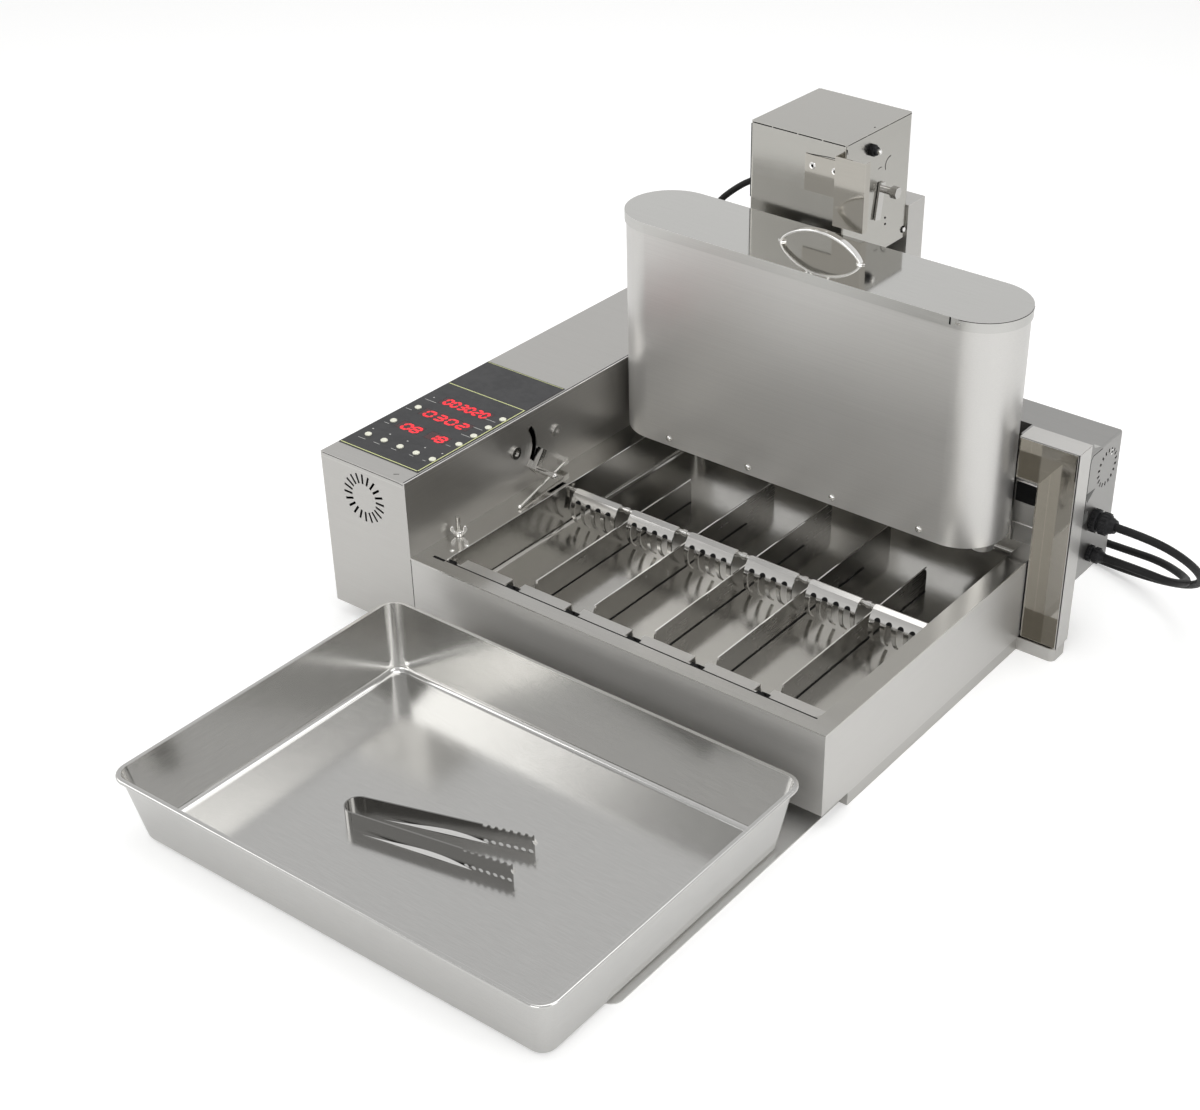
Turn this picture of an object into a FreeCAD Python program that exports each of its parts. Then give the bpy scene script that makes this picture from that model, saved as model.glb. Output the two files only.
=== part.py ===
import FreeCAD, Part
import Sketcher
import math
import os

from FreeCAD import Rotation, Vector

# Automatic mini doughnut machine. X runs to the right along its front, Y to the rear and Z up.
# Places are measured from the left face of the control box, the front of the box and the bench,
# and the origin lies on the bench under the middle of the machine.

# Driving sizes in millimetres and degrees
SIZES = {
    "bodyWidth": 710,
    "originDepth": 300,
    "sheetWall": 1.5,
    "runGap": 0.3,
    "shaftGap": 0.05,
    "baseHeight": 17.5,
    "baseFront": 51,
    "baseBack": 545,
    "footRight": 400,
    "footLeft": 240,
    "footBack": 691,
    "plateFootFront": 427,
    "shelfLeft": 110,
    "shelfInset": 10,
    "shelfFront": -341,
    "shelfCorner": 14,
    "boxWidth": 131.5,
    "boxDepth": 600,
    "boxTop": 222.3,
    "coverHeight": 6,
    "ventShift": 1.25,
    "ventZ": 181,
    "ventOuter": 31.5,
    "ventInner": 18.5,
    "ventSlots": 20,
    "ventSlotWidth": 3,
    "filmFront": 29,
    "filmDepth": 264,
    "filmLeft": 1,
    "filmInset": 6,
    "filmHeight": 0.6,
    "buttonRadius": 4.2,
    "buttonProud": 1.9,
    "displayLeft": 27,
    "displayInset": 28.5,
    "displayRow": 17,
    "fanDepth": 24,
    "fanRadius": 31,
    "fanBlades": 7,
    "fanHub": 13,
    "tankHeight": 124,
    "flangeFront": 19.4,
    "gutterWidth": 35.5,
    "basinInset": 24,
    "basinBack": 515,
    "basinCorner": 12,
    "basinFloor": 69,
    "gutterSlotGap": 26,
    "gutterSlotWidth": 6,
    "gutterSlotFront": 214,
    "gutterSlotLength": 31,
    "studGap": 10.5,
    "studY": 72,
    "studRadius": 3,
    "studHeight": 26,
    "laneShare": 0.168,
    "laneShift": 2.3,
    "dividerHeight": 33,
    "dividerFront": 74,
    "dividerShortBack": 378,
    "dividerLongBack": 438,
    "dividerCorner": 9,
    "liftRodY": 33,
    "liftRodZ": 112.2,
    "liftRodRadius": 3,
    "liftPlateWidth": 69,
    "liftStrip": 17,
    "liftLeg": 41,
    "liftLegLean": 8,
    "flipY": 250,
    "flipZ": 115,
    "flipRodRadius": 3,
    "combFingers": 5,
    "fingerShare": 0.17777,
    "fingerWidth": 6,
    "fingerTip": 3,
    "combArc": 30,
    "combSheet": 2,
    "combStrip": 7,
    "lugThick": 2,
    "rockerY": 189,
    "rockerZ": 180.3,
    "rockerHub": 8,
    "rockerSlotArc": 36,
    "rockerSlotWidth": 8,
    "rockerPinArc": 52.5,
    "rockerPinRadius": 4,
    "rockerPinReach": 34,
    "rockerRest": -46,
    "rockerSwing": 75,
    "bossY": 266.3,
    "bossZ": 179,
    "bossRadius": 7.5,
    "hopperGap": 1.8,
    "hopperInset": 34,
    "hopperY": 429.8,
    "hopperRadius": 56.9,
    "hopperBottom": 142,
    "nozzleRadius": 17,
    "nozzleDrop": 20,
    "nozzleBore": 12,
    "lidOver": 2,
    "lidTop": 430,
    "lidSkirt": 13,
    "handleX": 402.5,
    "handleSpan": 107,
    "handleRise": 27,
    "handleWire": 3.5,
    "beamZ": 372,
    "beamHeight": 12,
    "beamWidth": 20,
    "armWidth": 22,
    "plungerRadius": 5,
    "pistonRadius": 11.6,
    "plungerTravel": 25,
    "towerLeft": 251.5,
    "towerRight": 387,
    "towerFront": 503,
    "towerBack": 650,
    "towerBottom": 373,
    "towerTop": 532.5,
    "channelLeft": 379,
    "channelRight": 421,
    "channelFront": 492,
    "channelTop": 521,
    "channelFlangeTop": 511,
    "channelFlangeLeft": 331,
    "channelBottom": 436,
    "columnLeft": 262,
    "columnRight": 390,
    "columnFront": 650,
    "columnTop": 414,
    "hopperArmZ": 300,
    "hopperArmHeight": 40,
    "crankY": 590,
    "crankZ": 453,
    "crankShaft": 4.5,
    "crankReach": 22,
    "crankArm": 46,
    "crankLean": -9.5,
    "knobY": 559.5,
    "knobZ": 511,
    "knobRadius": 9,
    "knobLength": 10,
    "rearOverlap": 26,
    "rearReach": 50,
    "rearFront": 430,
    "rearPlane": 459,
    "rearTop": 281,
    "rearCorner": 4,
    "footCorner": 8,
    "windowTop": 228,
    "plateGap": 2,
    "heaterBack": 540,
    "heaterTop": 267,
    "heaterDrop": 100,
    "heaterOverlap": 110,
    "heaterWingFront": 488,
    "heaterStep": 40.5,
    "recessLip": 150,
    "recessBottom": 179,
    "recessTop": 206,
    "heaterVentY": 510,
    "heaterVentZ": 231,
    "heaterVentInner": 19,
    "heaterVentOuter": 24.5,
    "heaterVentSlots": 18,
    "glandY": 488,
    "glandUpperZ": 171,
    "glandLowerZ": 126,
    "glandRadius": 14.5,
    "glandLength": 31,
    "glandLowerShare": 0.7,
    "cordRadius": 5,
    "towerCordRadius": 4,
    "plugLength": 42,
    "plugRadius": 15,
    "coilGap": 112,
    "coilY": 612,
    "coilOuter": 60,
    "coilHeight": 22,
    "coilLine": 55,
    "panLeft": 128,
    "panFront": -451,
    "panBack": -31,
    "panHeight": 84.5,
    "panTaper": 13,
    "panRim": 4.5,
    "panCorner": 18,
    "panFoot": 9,
    "panWall": 1.2,
    "rimHeight": 4.6,
    "tongsX": 309.9,
    "tongsY": -282.3,
    "tongsTurn": 14,
    "tongsLength": 208,
    "tongsBow": 14,
    "tongsOpen": 3.2,
    "tongsStrip": 1.5,
    "tongsHeight": 22,
    "toothPitch": 8.5,
    "toothRadius": 3,
}

doc = FreeCAD.newDocument("DoughnutMachine")
sheet = doc.addObject("Spreadsheet::Sheet", "Sizes")


# A number together with the expression that works it out from the sheet
class Measure:
    def __init__(self, value, text):
        self.value = value
        self.text = text

    def __add__(self, other):
        other = measure(other)
        return Measure(self.value + other.value, "(" + self.text + " + " + other.text + ")")

    def __radd__(self, other):
        return measure(other) + self

    def __sub__(self, other):
        other = measure(other)
        return Measure(self.value - other.value, "(" + self.text + " - " + other.text + ")")

    def __rsub__(self, other):
        return measure(other) - self

    def __mul__(self, other):
        other = measure(other)
        return Measure(self.value * other.value, "(" + self.text + " * " + other.text + ")")

    def __rmul__(self, other):
        return measure(other) * self

    def __truediv__(self, other):
        other = measure(other)
        return Measure(self.value / other.value, "(" + self.text + " / " + other.text + ")")

    def __neg__(self):
        return Measure(-self.value, "(0 - " + self.text + ")")


def measure(item):
    if isinstance(item, Measure):
        return item
    if item < 0:
        return Measure(item, "(0 - " + repr(-item) + ")")
    return Measure(item, repr(item))


class Sheet:
    pass


s = Sheet()
for row, (alias, number) in enumerate(SIZES.items(), 1):
    sheet.set("A" + str(row), alias)
    sheet.set("B" + str(row), str(number))
    sheet.setAlias("B" + str(row), alias)
    setattr(s, alias, Measure(number, "Sizes." + alias))
doc.recompute()

# Places that follow the control box or the right end of the body
ventX = s.boxWidth / 2 - s.ventShift
displayRight = s.boxWidth - s.displayInset
filmWidth = s.boxWidth - s.filmLeft - s.filmInset
basinLeft = s.boxWidth + s.gutterWidth
basinRight = s.bodyWidth - s.basinInset
gutterSlotLeft = s.boxWidth + s.gutterSlotGap
studX = s.boxWidth + s.studGap
lanePitch = (basinRight - basinLeft) * s.laneShare
laneFirst = basinLeft + lanePitch + s.laneShift
fingerPitch = lanePitch * s.fingerShare
hopperLeft = s.boxWidth + s.hopperGap
hopperRight = s.bodyWidth - s.hopperInset
rearLeft = s.bodyWidth - s.rearOverlap
rearRight = s.bodyWidth + s.rearReach
coilX = s.bodyWidth - s.coilGap

nodes = []


# Makes a finished piece of the machine known under its own name
def node(item, label):
    item.Label = label
    nodes.append(item)
    return item


def bind(item, **values):
    for name, value in values.items():
        item.setExpression(name, measure(value).text)
    return item


# Puts an item at a place measured from the box's left face, its front and the bench
def place(item, x, y, z, turn=None):
    if turn:
        item.Placement = FreeCAD.Placement(Vector(), turn)
    shifted = (x - s.bodyWidth / 2, y - s.originDepth, measure(z))
    for axis, value in zip("xyz", shifted):
        item.setExpression("Placement.Base." + axis, value.text)
    return item


def box(name, x, y, z, length, width, height, turn=None):
    item = doc.addObject("Part::Box", name)
    bind(item, Length=length, Width=width, Height=height)
    return place(item, x, y, z, turn)


# Turns that lay an upright item along X or Y, with its own first direction at an angle from +Y or +X
def alongX(degrees=0):
    a = math.radians(degrees)
    first = Vector(0, math.cos(a), math.sin(a))
    second = Vector(0, -math.sin(a), math.cos(a))
    return Rotation(first, second, Vector(1, 0, 0), "ZXY")


def alongY(degrees=0):
    a = math.radians(degrees)
    first = Vector(math.cos(a), 0, -math.sin(a))
    second = Vector(-math.sin(a), 0, -math.cos(a))
    return Rotation(first, second, Vector(0, 1, 0), "ZXY")


def aboutX(degrees):
    return Rotation(Vector(1, 0, 0), degrees)


def cylinder(name, x, y, z, radius, length, turn=None, angle=360):
    item = doc.addObject("Part::Cylinder", name)
    bind(item, Radius=radius, Height=length)
    item.Angle = angle
    return place(item, x, y, z, turn)


def cone(name, x, y, z, radius, endRadius, length, turn=None):
    item = doc.addObject("Part::Cone", name)
    bind(item, Radius1=radius, Radius2=endRadius, Height=length)
    return place(item, x, y, z, turn)


def ball(name, x, y, z, radius):
    item = doc.addObject("Part::Sphere", name)
    bind(item, Radius=radius)
    return place(item, x, y, z)


def fuse(name, *items):
    item = doc.addObject("Part::MultiFuse", name)
    item.Shapes = list(items)
    item.Refine = True
    return item


def cut(name, base, *tools):
    tool = tools[0]
    if len(tools) > 1:
        tool = fuse(name + "Tools", *tools)
    item = doc.addObject("Part::Cut", name)
    item.Base = base
    item.Tool = tool
    item.Refine = True
    return item


# Bodies: a block, rounded edges, an even wall and round patterns of slots

def edgesOf(feature, test):
    return ["Edge" + str(i) for i, edge in enumerate(feature.Shape.Edges, 1) if test(edge)]


def facesOf(feature, test):
    return ["Face" + str(i) for i, face in enumerate(feature.Shape.Faces, 1) if test(face)]


def rising(edge):
    ends = [vertex.Point for vertex in edge.Vertexes]
    return len(ends) == 2 and abs(ends[0].z - ends[1].z) > 0.5 * edge.Length


def atHeight(z):
    def test(item):
        bounds = item.BoundBox
        return abs(bounds.ZMin - z) < 0.01 and abs(bounds.ZMax - z) < 0.01
    return test


def blockBody(name, length, width, height):
    body = doc.addObject("PartDesign::Body", name)
    block = body.newObject("PartDesign::AdditiveBox", name + "Block")
    bind(block, Length=length, Width=width, Height=height)
    doc.recompute()
    return body


def roundEdges(body, radius, test, name="Round"):
    before = body.Tip
    rounding = body.newObject("PartDesign::Fillet", body.Name + name)
    rounding.Base = (before, edgesOf(before, test))
    bind(rounding, Radius=radius)
    body.Tip = rounding
    doc.recompute()
    return body


def hollow(body, wall, test):
    before = body.Tip
    shell = body.newObject("PartDesign::Thickness", body.Name + "Shell")
    shell.Base = (before, facesOf(before, test))
    bind(shell, Value=wall)
    shell.Reversed = True
    shell.Join = 0
    body.Tip = shell
    doc.recompute()
    return body


def originPlane(body, role):
    for feature in body.Origin.OriginFeatures:
        if feature.Role == role:
            return feature
    return None


# A closed outline on one of the body's own planes, each corner held at its two distances
def outline(body, role, corners, name="Outline"):
    sketch = body.newObject("Sketcher::SketchObject", body.Name + name)
    sketch.AttachmentSupport = [(originPlane(body, role), "")]
    sketch.MapMode = "FlatFace"
    points = [(measure(u), measure(v)) for u, v in corners]
    flat = [Vector(u.value, v.value, 0) for u, v in points]
    for start, end in zip(flat, flat[1:] + flat[:1]):
        sketch.addGeometry(Part.LineSegment(start, end), False)
    for i in range(len(points)):
        following = (i + 1) % len(points)
        sketch.addConstraint(Sketcher.Constraint("Coincident", i, 2, following, 1))
    for i, (u, v) in enumerate(points):
        for kind, value in (("DistanceX", u), ("DistanceY", v)):
            index = sketch.addConstraint(Sketcher.Constraint(kind, -1, 1, i, 1, value.value))
            sketch.setExpression("Constraints[" + str(index) + "]", value.text)
    return sketch


def padBody(name, role, corners, depth, middle=False):
    body = doc.addObject("PartDesign::Body", name)
    sketch = outline(body, role, corners)
    pad = body.newObject("PartDesign::Pad", name + "Pad")
    pad.Profile = sketch
    pad.Midplane = middle
    bind(pad, Length=depth)
    doc.recompute()
    return body


# A ring of radial slots cut into the wall that lies on one of the body's planes, or beside it
def slotRing(body, role, u, v, beside, inner, outer, width, count, depth):
    before = body.Shape.Volume
    corners = [(-width / 2, inner), (width / 2, inner), (width / 2, outer), (-width / 2, outer)]
    sketch = outline(body, role, corners, "Slot")
    for axis, value in zip("xyz", (u, v, beside)):
        sketch.setExpression("AttachmentOffset.Base." + axis, measure(value).text)
    pocket = body.newObject("PartDesign::Pocket", body.Name + "Pocket")
    pocket.Profile = sketch
    bind(pocket, Length=depth)
    ring = body.newObject("PartDesign::PolarPattern", body.Name + "Ring")
    ring.Originals = [pocket]
    ring.Axis = (sketch, ["N_Axis"])
    ring.Angle = 360
    ring.Occurrences = count
    body.Tip = ring
    doc.recompute()
    print(body.Name, "slots cut", round(before - body.Shape.Volume), "cubic mm")
    return body


# A box given by its middle, its three sides and a turn
def turnedBox(name, middle, sides, turn):
    half = [measure(side) / 2 for side in sides]
    columns = [turn.multVec(Vector(*axis)) for axis in ((1, 0, 0), (0, 1, 0), (0, 0, 1))]
    corner = []
    for i, centre in enumerate(middle):
        shift = sum((side * columns[k][i] for k, side in enumerate(half)), measure(0))
        corner.append(measure(centre) - shift)
    return box(name, *corner, *sides, turn)


# A bar of round section between two points
def bar(name, start, end, radius):
    direction = Vector(*[measure(b).value - measure(a).value for a, b in zip(start, end)])
    return cylinder(name, *start, radius, direction.Length, Rotation(Vector(0, 0, 1), direction))


# Part of a ring about X, with its first edge at an angle from +Y
def ringSector(name, x, y, z, radius, thick, length, start, sweep):
    outer = cylinder(name + "Outer", x, y, z, radius + thick / 2, length, alongX(start), sweep)
    inner = cylinder(name + "Inner", x - 1, y, z, radius - thick / 2, length + 2, alongX())
    return cut(name, outer, inner)


# A block with two half-round ends, as long as from left to right
def stadium(name, left, right, y, z, radius, height):
    middle = box(name + "Middle", left + radius, y - radius, z, right - left - 2 * radius, 2 * radius,
                 height)
    leftEnd = cylinder(name + "Left", left + radius, y, z, radius, height)
    rightEnd = cylinder(name + "Right", right - radius, y, z, radius, height)
    return fuse(name, middle, leftEnd, rightEnd)


# A round tube along straight runs joined by tangent arcs
def tube(name, points, radius):
    corners = [Vector(*[measure(value).value for value in point]) for point in points]
    shift = Vector(s.bodyWidth.value / 2, s.originDepth.value, 0)
    corners = [corner - shift for corner in corners]
    edges = []
    radii = []
    start = corners[0]
    for before, corner, after in zip(corners, corners[1:], corners[2:]):
        back = before - corner
        ahead = after - corner
        half = (math.pi - back.getAngle(ahead)) / 2
        reach = 0.45 * min(back.Length, ahead.Length)
        radii.append(round(reach / math.tan(half)))
        back.normalize()
        ahead.normalize()
        enter = corner + back * reach
        leave = corner + ahead * reach
        inward = back + ahead
        inward.normalize()
        bend = reach / math.tan(half)
        centre = corner + inward * (bend / math.cos(half))
        edges.append(Part.LineSegment(start, enter).toShape())
        edges.append(Part.Arc(enter, centre - inward * bend, leave).toShape())
        start = leave
    edges.append(Part.LineSegment(start, corners[-1]).toShape())
    path = Part.Wire(edges)
    section = Part.Wire([Part.makeCircle(radius.value, corners[0], corners[1] - corners[0])])
    item = doc.addObject("Part::Feature", name)
    item.Shape = path.makePipeShell([section], True, False)
    expected = math.pi * radius.value ** 2 * path.Length
    print(name, "length", round(path.Length), "radii", radii, "volume",
          round(item.Shape.Volume / expected, 3))
    return item


# Base tray, with a narrower foot behind it for the column and a strip under the rear plate
heaterFront = s.rearPlane + s.sheetWall
tray = padBody("BaseTray", "XY_Plane", [
    (0, 0),
    (s.bodyWidth, 0),
    (s.bodyWidth, s.plateFootFront - s.baseFront),
    (rearRight, s.plateFootFront - s.baseFront),
    (rearRight, heaterFront - s.baseFront),
    (s.bodyWidth, heaterFront - s.baseFront),
    (s.bodyWidth, s.baseBack - s.baseFront),
    (s.footRight, s.baseBack - s.baseFront),
    (s.footRight, s.footBack - s.baseFront),
    (s.footLeft, s.footBack - s.baseFront),
    (s.footLeft, s.boxDepth - s.baseFront),
    (0, s.boxDepth - s.baseFront),
], s.baseHeight)
rightEdge = rearRight.value - 0.1
roundEdges(tray, s.footCorner, lambda edge: rising(edge) and edge.BoundBox.XMin > rightEdge)
hollow(tray, s.sheetWall, atHeight(s.baseHeight.value))
node(place(tray, 0, s.baseFront, 0), "base_tray")

# Thin shelf for the catch pan
shelfDepth = s.baseFront - s.shelfFront
shelf = blockBody("PanShelf", s.bodyWidth - s.shelfInset - s.shelfLeft, shelfDepth, s.sheetWall)
roundEdges(shelf, s.shelfCorner, lambda edge: rising(edge) and edge.BoundBox.YMax < 1)
node(place(shelf, s.shelfLeft, s.shelfFront, 0), "pan_shelf")

# Control box housing with its slot vent, the rocker's slot and bearing, and a bolt head
housingTop = s.boxTop - s.coverHeight
housing = blockBody("Housing", s.boxWidth, s.boxDepth, housingTop - s.baseHeight)
hollow(housing, s.sheetWall, atHeight(housingTop.value - s.baseHeight.value))
slotRing(housing, "XZ_Plane", ventX, s.ventZ - s.baseHeight, 0, s.ventInner, s.ventOuter,
         s.ventSlotWidth, SIZES["ventSlots"], 2 * s.sheetWall)
place(housing, 0, 0, s.baseHeight)
slotStart = s.rockerRest.value - 8
arcSlot = ringSector("ArcSlot", s.boxWidth - 2 * s.sheetWall, s.rockerY, s.rockerZ, s.rockerSlotArc,
                     s.rockerSlotWidth, 4 * s.sheetWall, slotStart, s.rockerSwing.value + 16)
hubHole = cylinder("HubHole", s.boxWidth - 2 * s.sheetWall, s.rockerY, s.rockerZ,
                   s.rockerHub + s.shaftGap, 4 * s.sheetWall, alongX())
bolt = cylinder("Bolt", s.boxWidth - s.sheetWall, s.bossY, s.bossZ, s.bossRadius, 3 * s.sheetWall, alongX())
boltHole = cylinder("BoltHole", s.boxWidth, s.bossY, s.bossZ, s.bossRadius / 2, 3 * s.sheetWall, alongX())
node(cut("HousingCut", fuse("HousingBolt", housing, bolt), arcSlot, hubHole, boltHole), "control_housing")

# Places of the eleven push buttons: a row of five, two above its left end, four above its right end
BUTTON_LEFT = 17
BUTTON_INSET = 13
BUTTON_ROW = 61.5
BUTTON_LEFT_PITCH = 42.75
BUTTON_RIGHT_FIRST = 107
BUTTON_RIGHT_PITCH = 26
buttonRight = s.boxWidth - BUTTON_INSET
rowPitch = (buttonRight - BUTTON_LEFT) / 4
spots = [(BUTTON_LEFT + i * rowPitch, BUTTON_ROW) for i in range(5)]
spots += [(BUTTON_LEFT, BUTTON_ROW + i * BUTTON_LEFT_PITCH) for i in (1, 2)]
spots += [(buttonRight, BUTTON_RIGHT_FIRST + i * BUTTON_RIGHT_PITCH) for i in range(4)]

# Display windows: two full rows and a lower row in two groups
WINDOW_ROWS = (104, 144, 180)
GROUP_GAP = (35, 45)


def displayWindows(name, clear, bottom, height):
    items = []
    for row, y in enumerate(WINDOW_ROWS):
        spans = [(s.displayLeft, displayRight)]
        if row == 0:
            spans = [(s.displayLeft, s.displayLeft + GROUP_GAP[0]),
                     (s.displayLeft + GROUP_GAP[1], displayRight)]
        for part, (left, right) in enumerate(spans):
            items.append(box(name + str(row) + str(part), left - clear, y - s.displayRow / 2 - clear, bottom,
                             right - left + 2 * clear, s.displayRow + 2 * clear, height))
    return items


def buttonHoles(name):
    radius = s.buttonRadius + s.runGap
    bottom = s.boxTop - 2 * s.sheetWall
    return [cylinder(name + str(i), x, y, bottom, radius, 4 * s.sheetWall) for i, (x, y) in enumerate(spots)]


cover = blockBody("Cover", s.boxWidth, s.boxDepth, s.coverHeight)
hollow(cover, s.sheetWall, atHeight(0))
place(cover, 0, 0, housingTop)
coverTools = displayWindows("CoverWindow", s.runGap, s.boxTop - 2 * s.sheetWall, 4 * s.sheetWall)
coverTools += buttonHoles("CoverHole")
node(cut("CoverCut", cover, *coverTools), "control_cover")

film = box("Film", s.filmLeft, s.filmFront, s.boxTop, filmWidth, s.filmDepth, s.filmHeight)
filmTools = displayWindows("FilmWindow", s.runGap, s.boxTop - s.sheetWall, 4 * s.sheetWall)
filmTools += buttonHoles("FilmHole")
node(cut("FilmCut", film, *filmTools), "control_film")

BOARD_EDGE = 3
BOARD_THICK = 2
board = box("Board", s.displayLeft - BOARD_EDGE, WINDOW_ROWS[0] - s.displayRow / 2 - BOARD_EDGE,
            s.boxTop - s.sheetWall - BOARD_THICK, displayRight - s.displayLeft + 2 * BOARD_EDGE,
            WINDOW_ROWS[-1] - WINDOW_ROWS[0] + s.displayRow + 2 * BOARD_EDGE, BOARD_THICK)
panes = displayWindows("Pane", 0, s.boxTop - s.sheetWall - 1, s.sheetWall + s.filmHeight + 1)
node(fuse("Display", board, *panes), "display_module")

RETAINER_LIP = 1.2
for i, (x, y) in enumerate(spots):
    name = "Button" + str(i + 1)
    under = s.boxTop - s.sheetWall - s.runGap
    retainer = cylinder(name + "Retainer", x, y, under - 1, s.buttonRadius + RETAINER_LIP, 1)
    stem = cylinder(name + "Stem", x, y, under - 1, s.buttonRadius, s.boxTop + s.filmHeight + 1 - under + 1)
    dome = cone(name + "Dome", x, y, s.boxTop + s.filmHeight + 1, s.buttonRadius,
                s.buttonRadius - 0.7 * s.buttonProud, s.buttonProud - 1)
    node(fuse(name, retainer, stem, dome), "button_" + str(i + 1).zfill(2))

# Cooling fan behind the slot vent
FAN_EDGE = 3.5
BLADE_PITCH = 35
AXLE_RADIUS = 2
fanSide = 2 * (s.fanRadius + FAN_EDGE)
fanLeft = ventX - fanSide / 2
fanLow = s.ventZ - fanSide / 2
fanBlock = box("FanBlock", fanLeft, s.sheetWall, fanLow, fanSide, s.fanDepth, fanSide)
fanBore = cylinder("FanBore", ventX, 0, s.ventZ, s.fanRadius + 1, s.fanDepth + 2 * s.sheetWall, alongY())
SPIDER = 4
spiderY = s.sheetWall + s.fanDepth - SPIDER
crossing = box("SpiderX", fanLeft + 1, spiderY, s.ventZ - SPIDER / 2, fanSide - 2, SPIDER, SPIDER)
upright = box("SpiderZ", ventX - SPIDER / 2, spiderY, fanLow + 1, SPIDER, SPIDER, fanSide - 2)
motorSeat = cylinder("MotorSeat", ventX, spiderY, s.ventZ, s.fanHub, SPIDER, alongY())
axle = cylinder("FanAxle", ventX, s.sheetWall + 4, s.ventZ, AXLE_RADIUS, s.fanDepth - 5, alongY())
node(fuse("FanFrame", cut("FanRing", fanBlock, fanBore), crossing, upright, motorSeat, axle), "fan_frame")

hubFront = s.sheetWall + 3
hubLength = spiderY - s.runGap - hubFront
blades = []
for i in range(SIZES["fanBlades"]):
    degrees = 360 * i / SIZES["fanBlades"]
    a = math.radians(degrees)
    reach = (s.fanHub + s.fanRadius) / 2 - 0.5
    middle = (ventX + reach * math.sin(a), hubFront + hubLength / 2, s.ventZ + reach * math.cos(a))
    turn = Rotation(Vector(0, 1, 0), degrees).multiply(Rotation(Vector(0, 0, 1), BLADE_PITCH))
    blades.append(turnedBox("Blade" + str(i), middle, (1.2, 15, s.fanRadius - s.fanHub + 1), turn))
hub = cylinder("FanHub", ventX, hubFront, s.ventZ, s.fanHub, hubLength, alongY())
hubBore = cylinder("FanHubBore", ventX, hubFront + 1, s.ventZ, AXLE_RADIUS + s.shaftGap, hubLength, alongY())
node(cut("FanRotor", fuse("FanWheel", hub, *blades), hubBore), "fan_rotor")

# Tank casing and frying tank, with a flange, gutter slot, bearing lugs and the wing nut's stud
tankWidth = s.bodyWidth - s.boxWidth
flangeZ = s.tankHeight - s.sheetWall
casing = blockBody("Casing", tankWidth, s.baseBack, flangeZ - s.baseHeight)
hollow(casing, s.sheetWall, atHeight(flangeZ.value - s.baseHeight.value))
node(place(casing, s.boxWidth, 0, s.baseHeight), "tank_casing")


def basin(name, wall, top):
    depth = s.tankHeight - s.basinFloor + wall + top
    body = blockBody(name, basinRight - basinLeft + 2 * wall, s.basinBack - s.flangeFront + 2 * wall, depth)
    roundEdges(body, s.basinCorner + wall, rising)
    roundEdges(body, s.basinCorner / 2 + wall, atHeight(0), "Foot")
    return place(body, basinLeft - wall, s.flangeFront - wall, s.basinFloor - wall)


def lug(name, x, y, z, reach):
    plate = box(name + "Plate", x, y - reach - 3, z - reach - 6, s.lugThick, 2 * reach + 6, 2 * reach + 8)
    bore = cylinder(name + "Bore", x - 1, y, z, reach + s.shaftGap, s.lugThick + 2, alongX())
    half = reach + s.shaftGap
    mouth = box(name + "Mouth", x - 1, y - half, z, s.lugThick + 2, 2 * half, 20)
    return cut(name, plate, bore, mouth)


flange = box("Flange", s.boxWidth, 0, flangeZ, tankWidth, s.baseBack, s.sheetWall)
gutterSlot = box("GutterSlot", gutterSlotLeft, s.gutterSlotFront, flangeZ - 1, s.gutterSlotWidth,
                 s.gutterSlotLength, s.sheetWall + 2)
stud = cylinder("Stud", studX, s.studY, flangeZ, s.studRadius, s.studHeight + s.sheetWall)
lugs = []
for side, x in (("Left", basinLeft), ("Right", basinRight - s.lugThick)):
    lugs.append(lug("FlipLug" + side, x, s.flipY, s.flipZ, s.flipRodRadius))
    lugs.append(lug("LiftLug" + side, x, s.liftRodY, s.liftRodZ, s.liftRodRadius))
pressed = cut("Pressed", fuse("TankOuter", flange, basin("BasinOuter", s.sheetWall, measure(0))),
              basin("BasinInner", measure(0), s.sheetWall), gutterSlot)
node(fuse("Tank", pressed, stud, *lugs), "frying_tank")

# Lane dividers
for i in range(5):
    back = s.dividerShortBack if i in (0, 4) else s.dividerLongBack
    run = back - s.dividerFront
    divider = padBody("Divider" + str(i), "YZ_Plane",
                      [(0, 0), (run, 0), (run, s.dividerHeight), (0, s.dividerHeight)], s.sheetWall, True)
    high = s.dividerHeight.value - 0.1
    roundEdges(divider, s.dividerCorner,
               lambda edge: edge.BoundBox.ZMin > high and edge.BoundBox.YLength < 0.01)
    place(divider, laneFirst + i * lanePitch, s.dividerFront, s.basinFloor)
    node(divider, "lane_divider_" + str(i + 1))

laneMiddles = [laneFirst + (i - 0.5) * lanePitch for i in range(6)]
rodLeft = basinLeft + s.runGap
rodLength = basinRight - basinLeft - 2 * s.runGap

# Lifter: six bent plates on one rod along the tank's front edge
STRIP_FRONT = 4
stripTop = s.liftRodRadius + 0.8
plates = []
for i, x in enumerate(laneMiddles):
    behind = s.liftStrip - STRIP_FRONT
    plate = padBody("LiftPlate" + str(i), "YZ_Plane", [
        (-STRIP_FRONT, stripTop - s.sheetWall),
        (behind - s.sheetWall, stripTop - s.sheetWall),
        (behind + s.liftLegLean - s.sheetWall, stripTop - s.liftLeg),
        (behind + s.liftLegLean, stripTop - s.liftLeg),
        (behind, stripTop),
        (-STRIP_FRONT, stripTop),
    ], s.liftPlateWidth, True)
    plates.append(place(plate, x, s.liftRodY, s.liftRodZ))
liftRod = cylinder("LiftRod", rodLeft, s.liftRodY, s.liftRodZ, s.liftRodRadius, rodLength, alongX())
node(fuse("Lifter", liftRod, *plates), "lifter")

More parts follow.
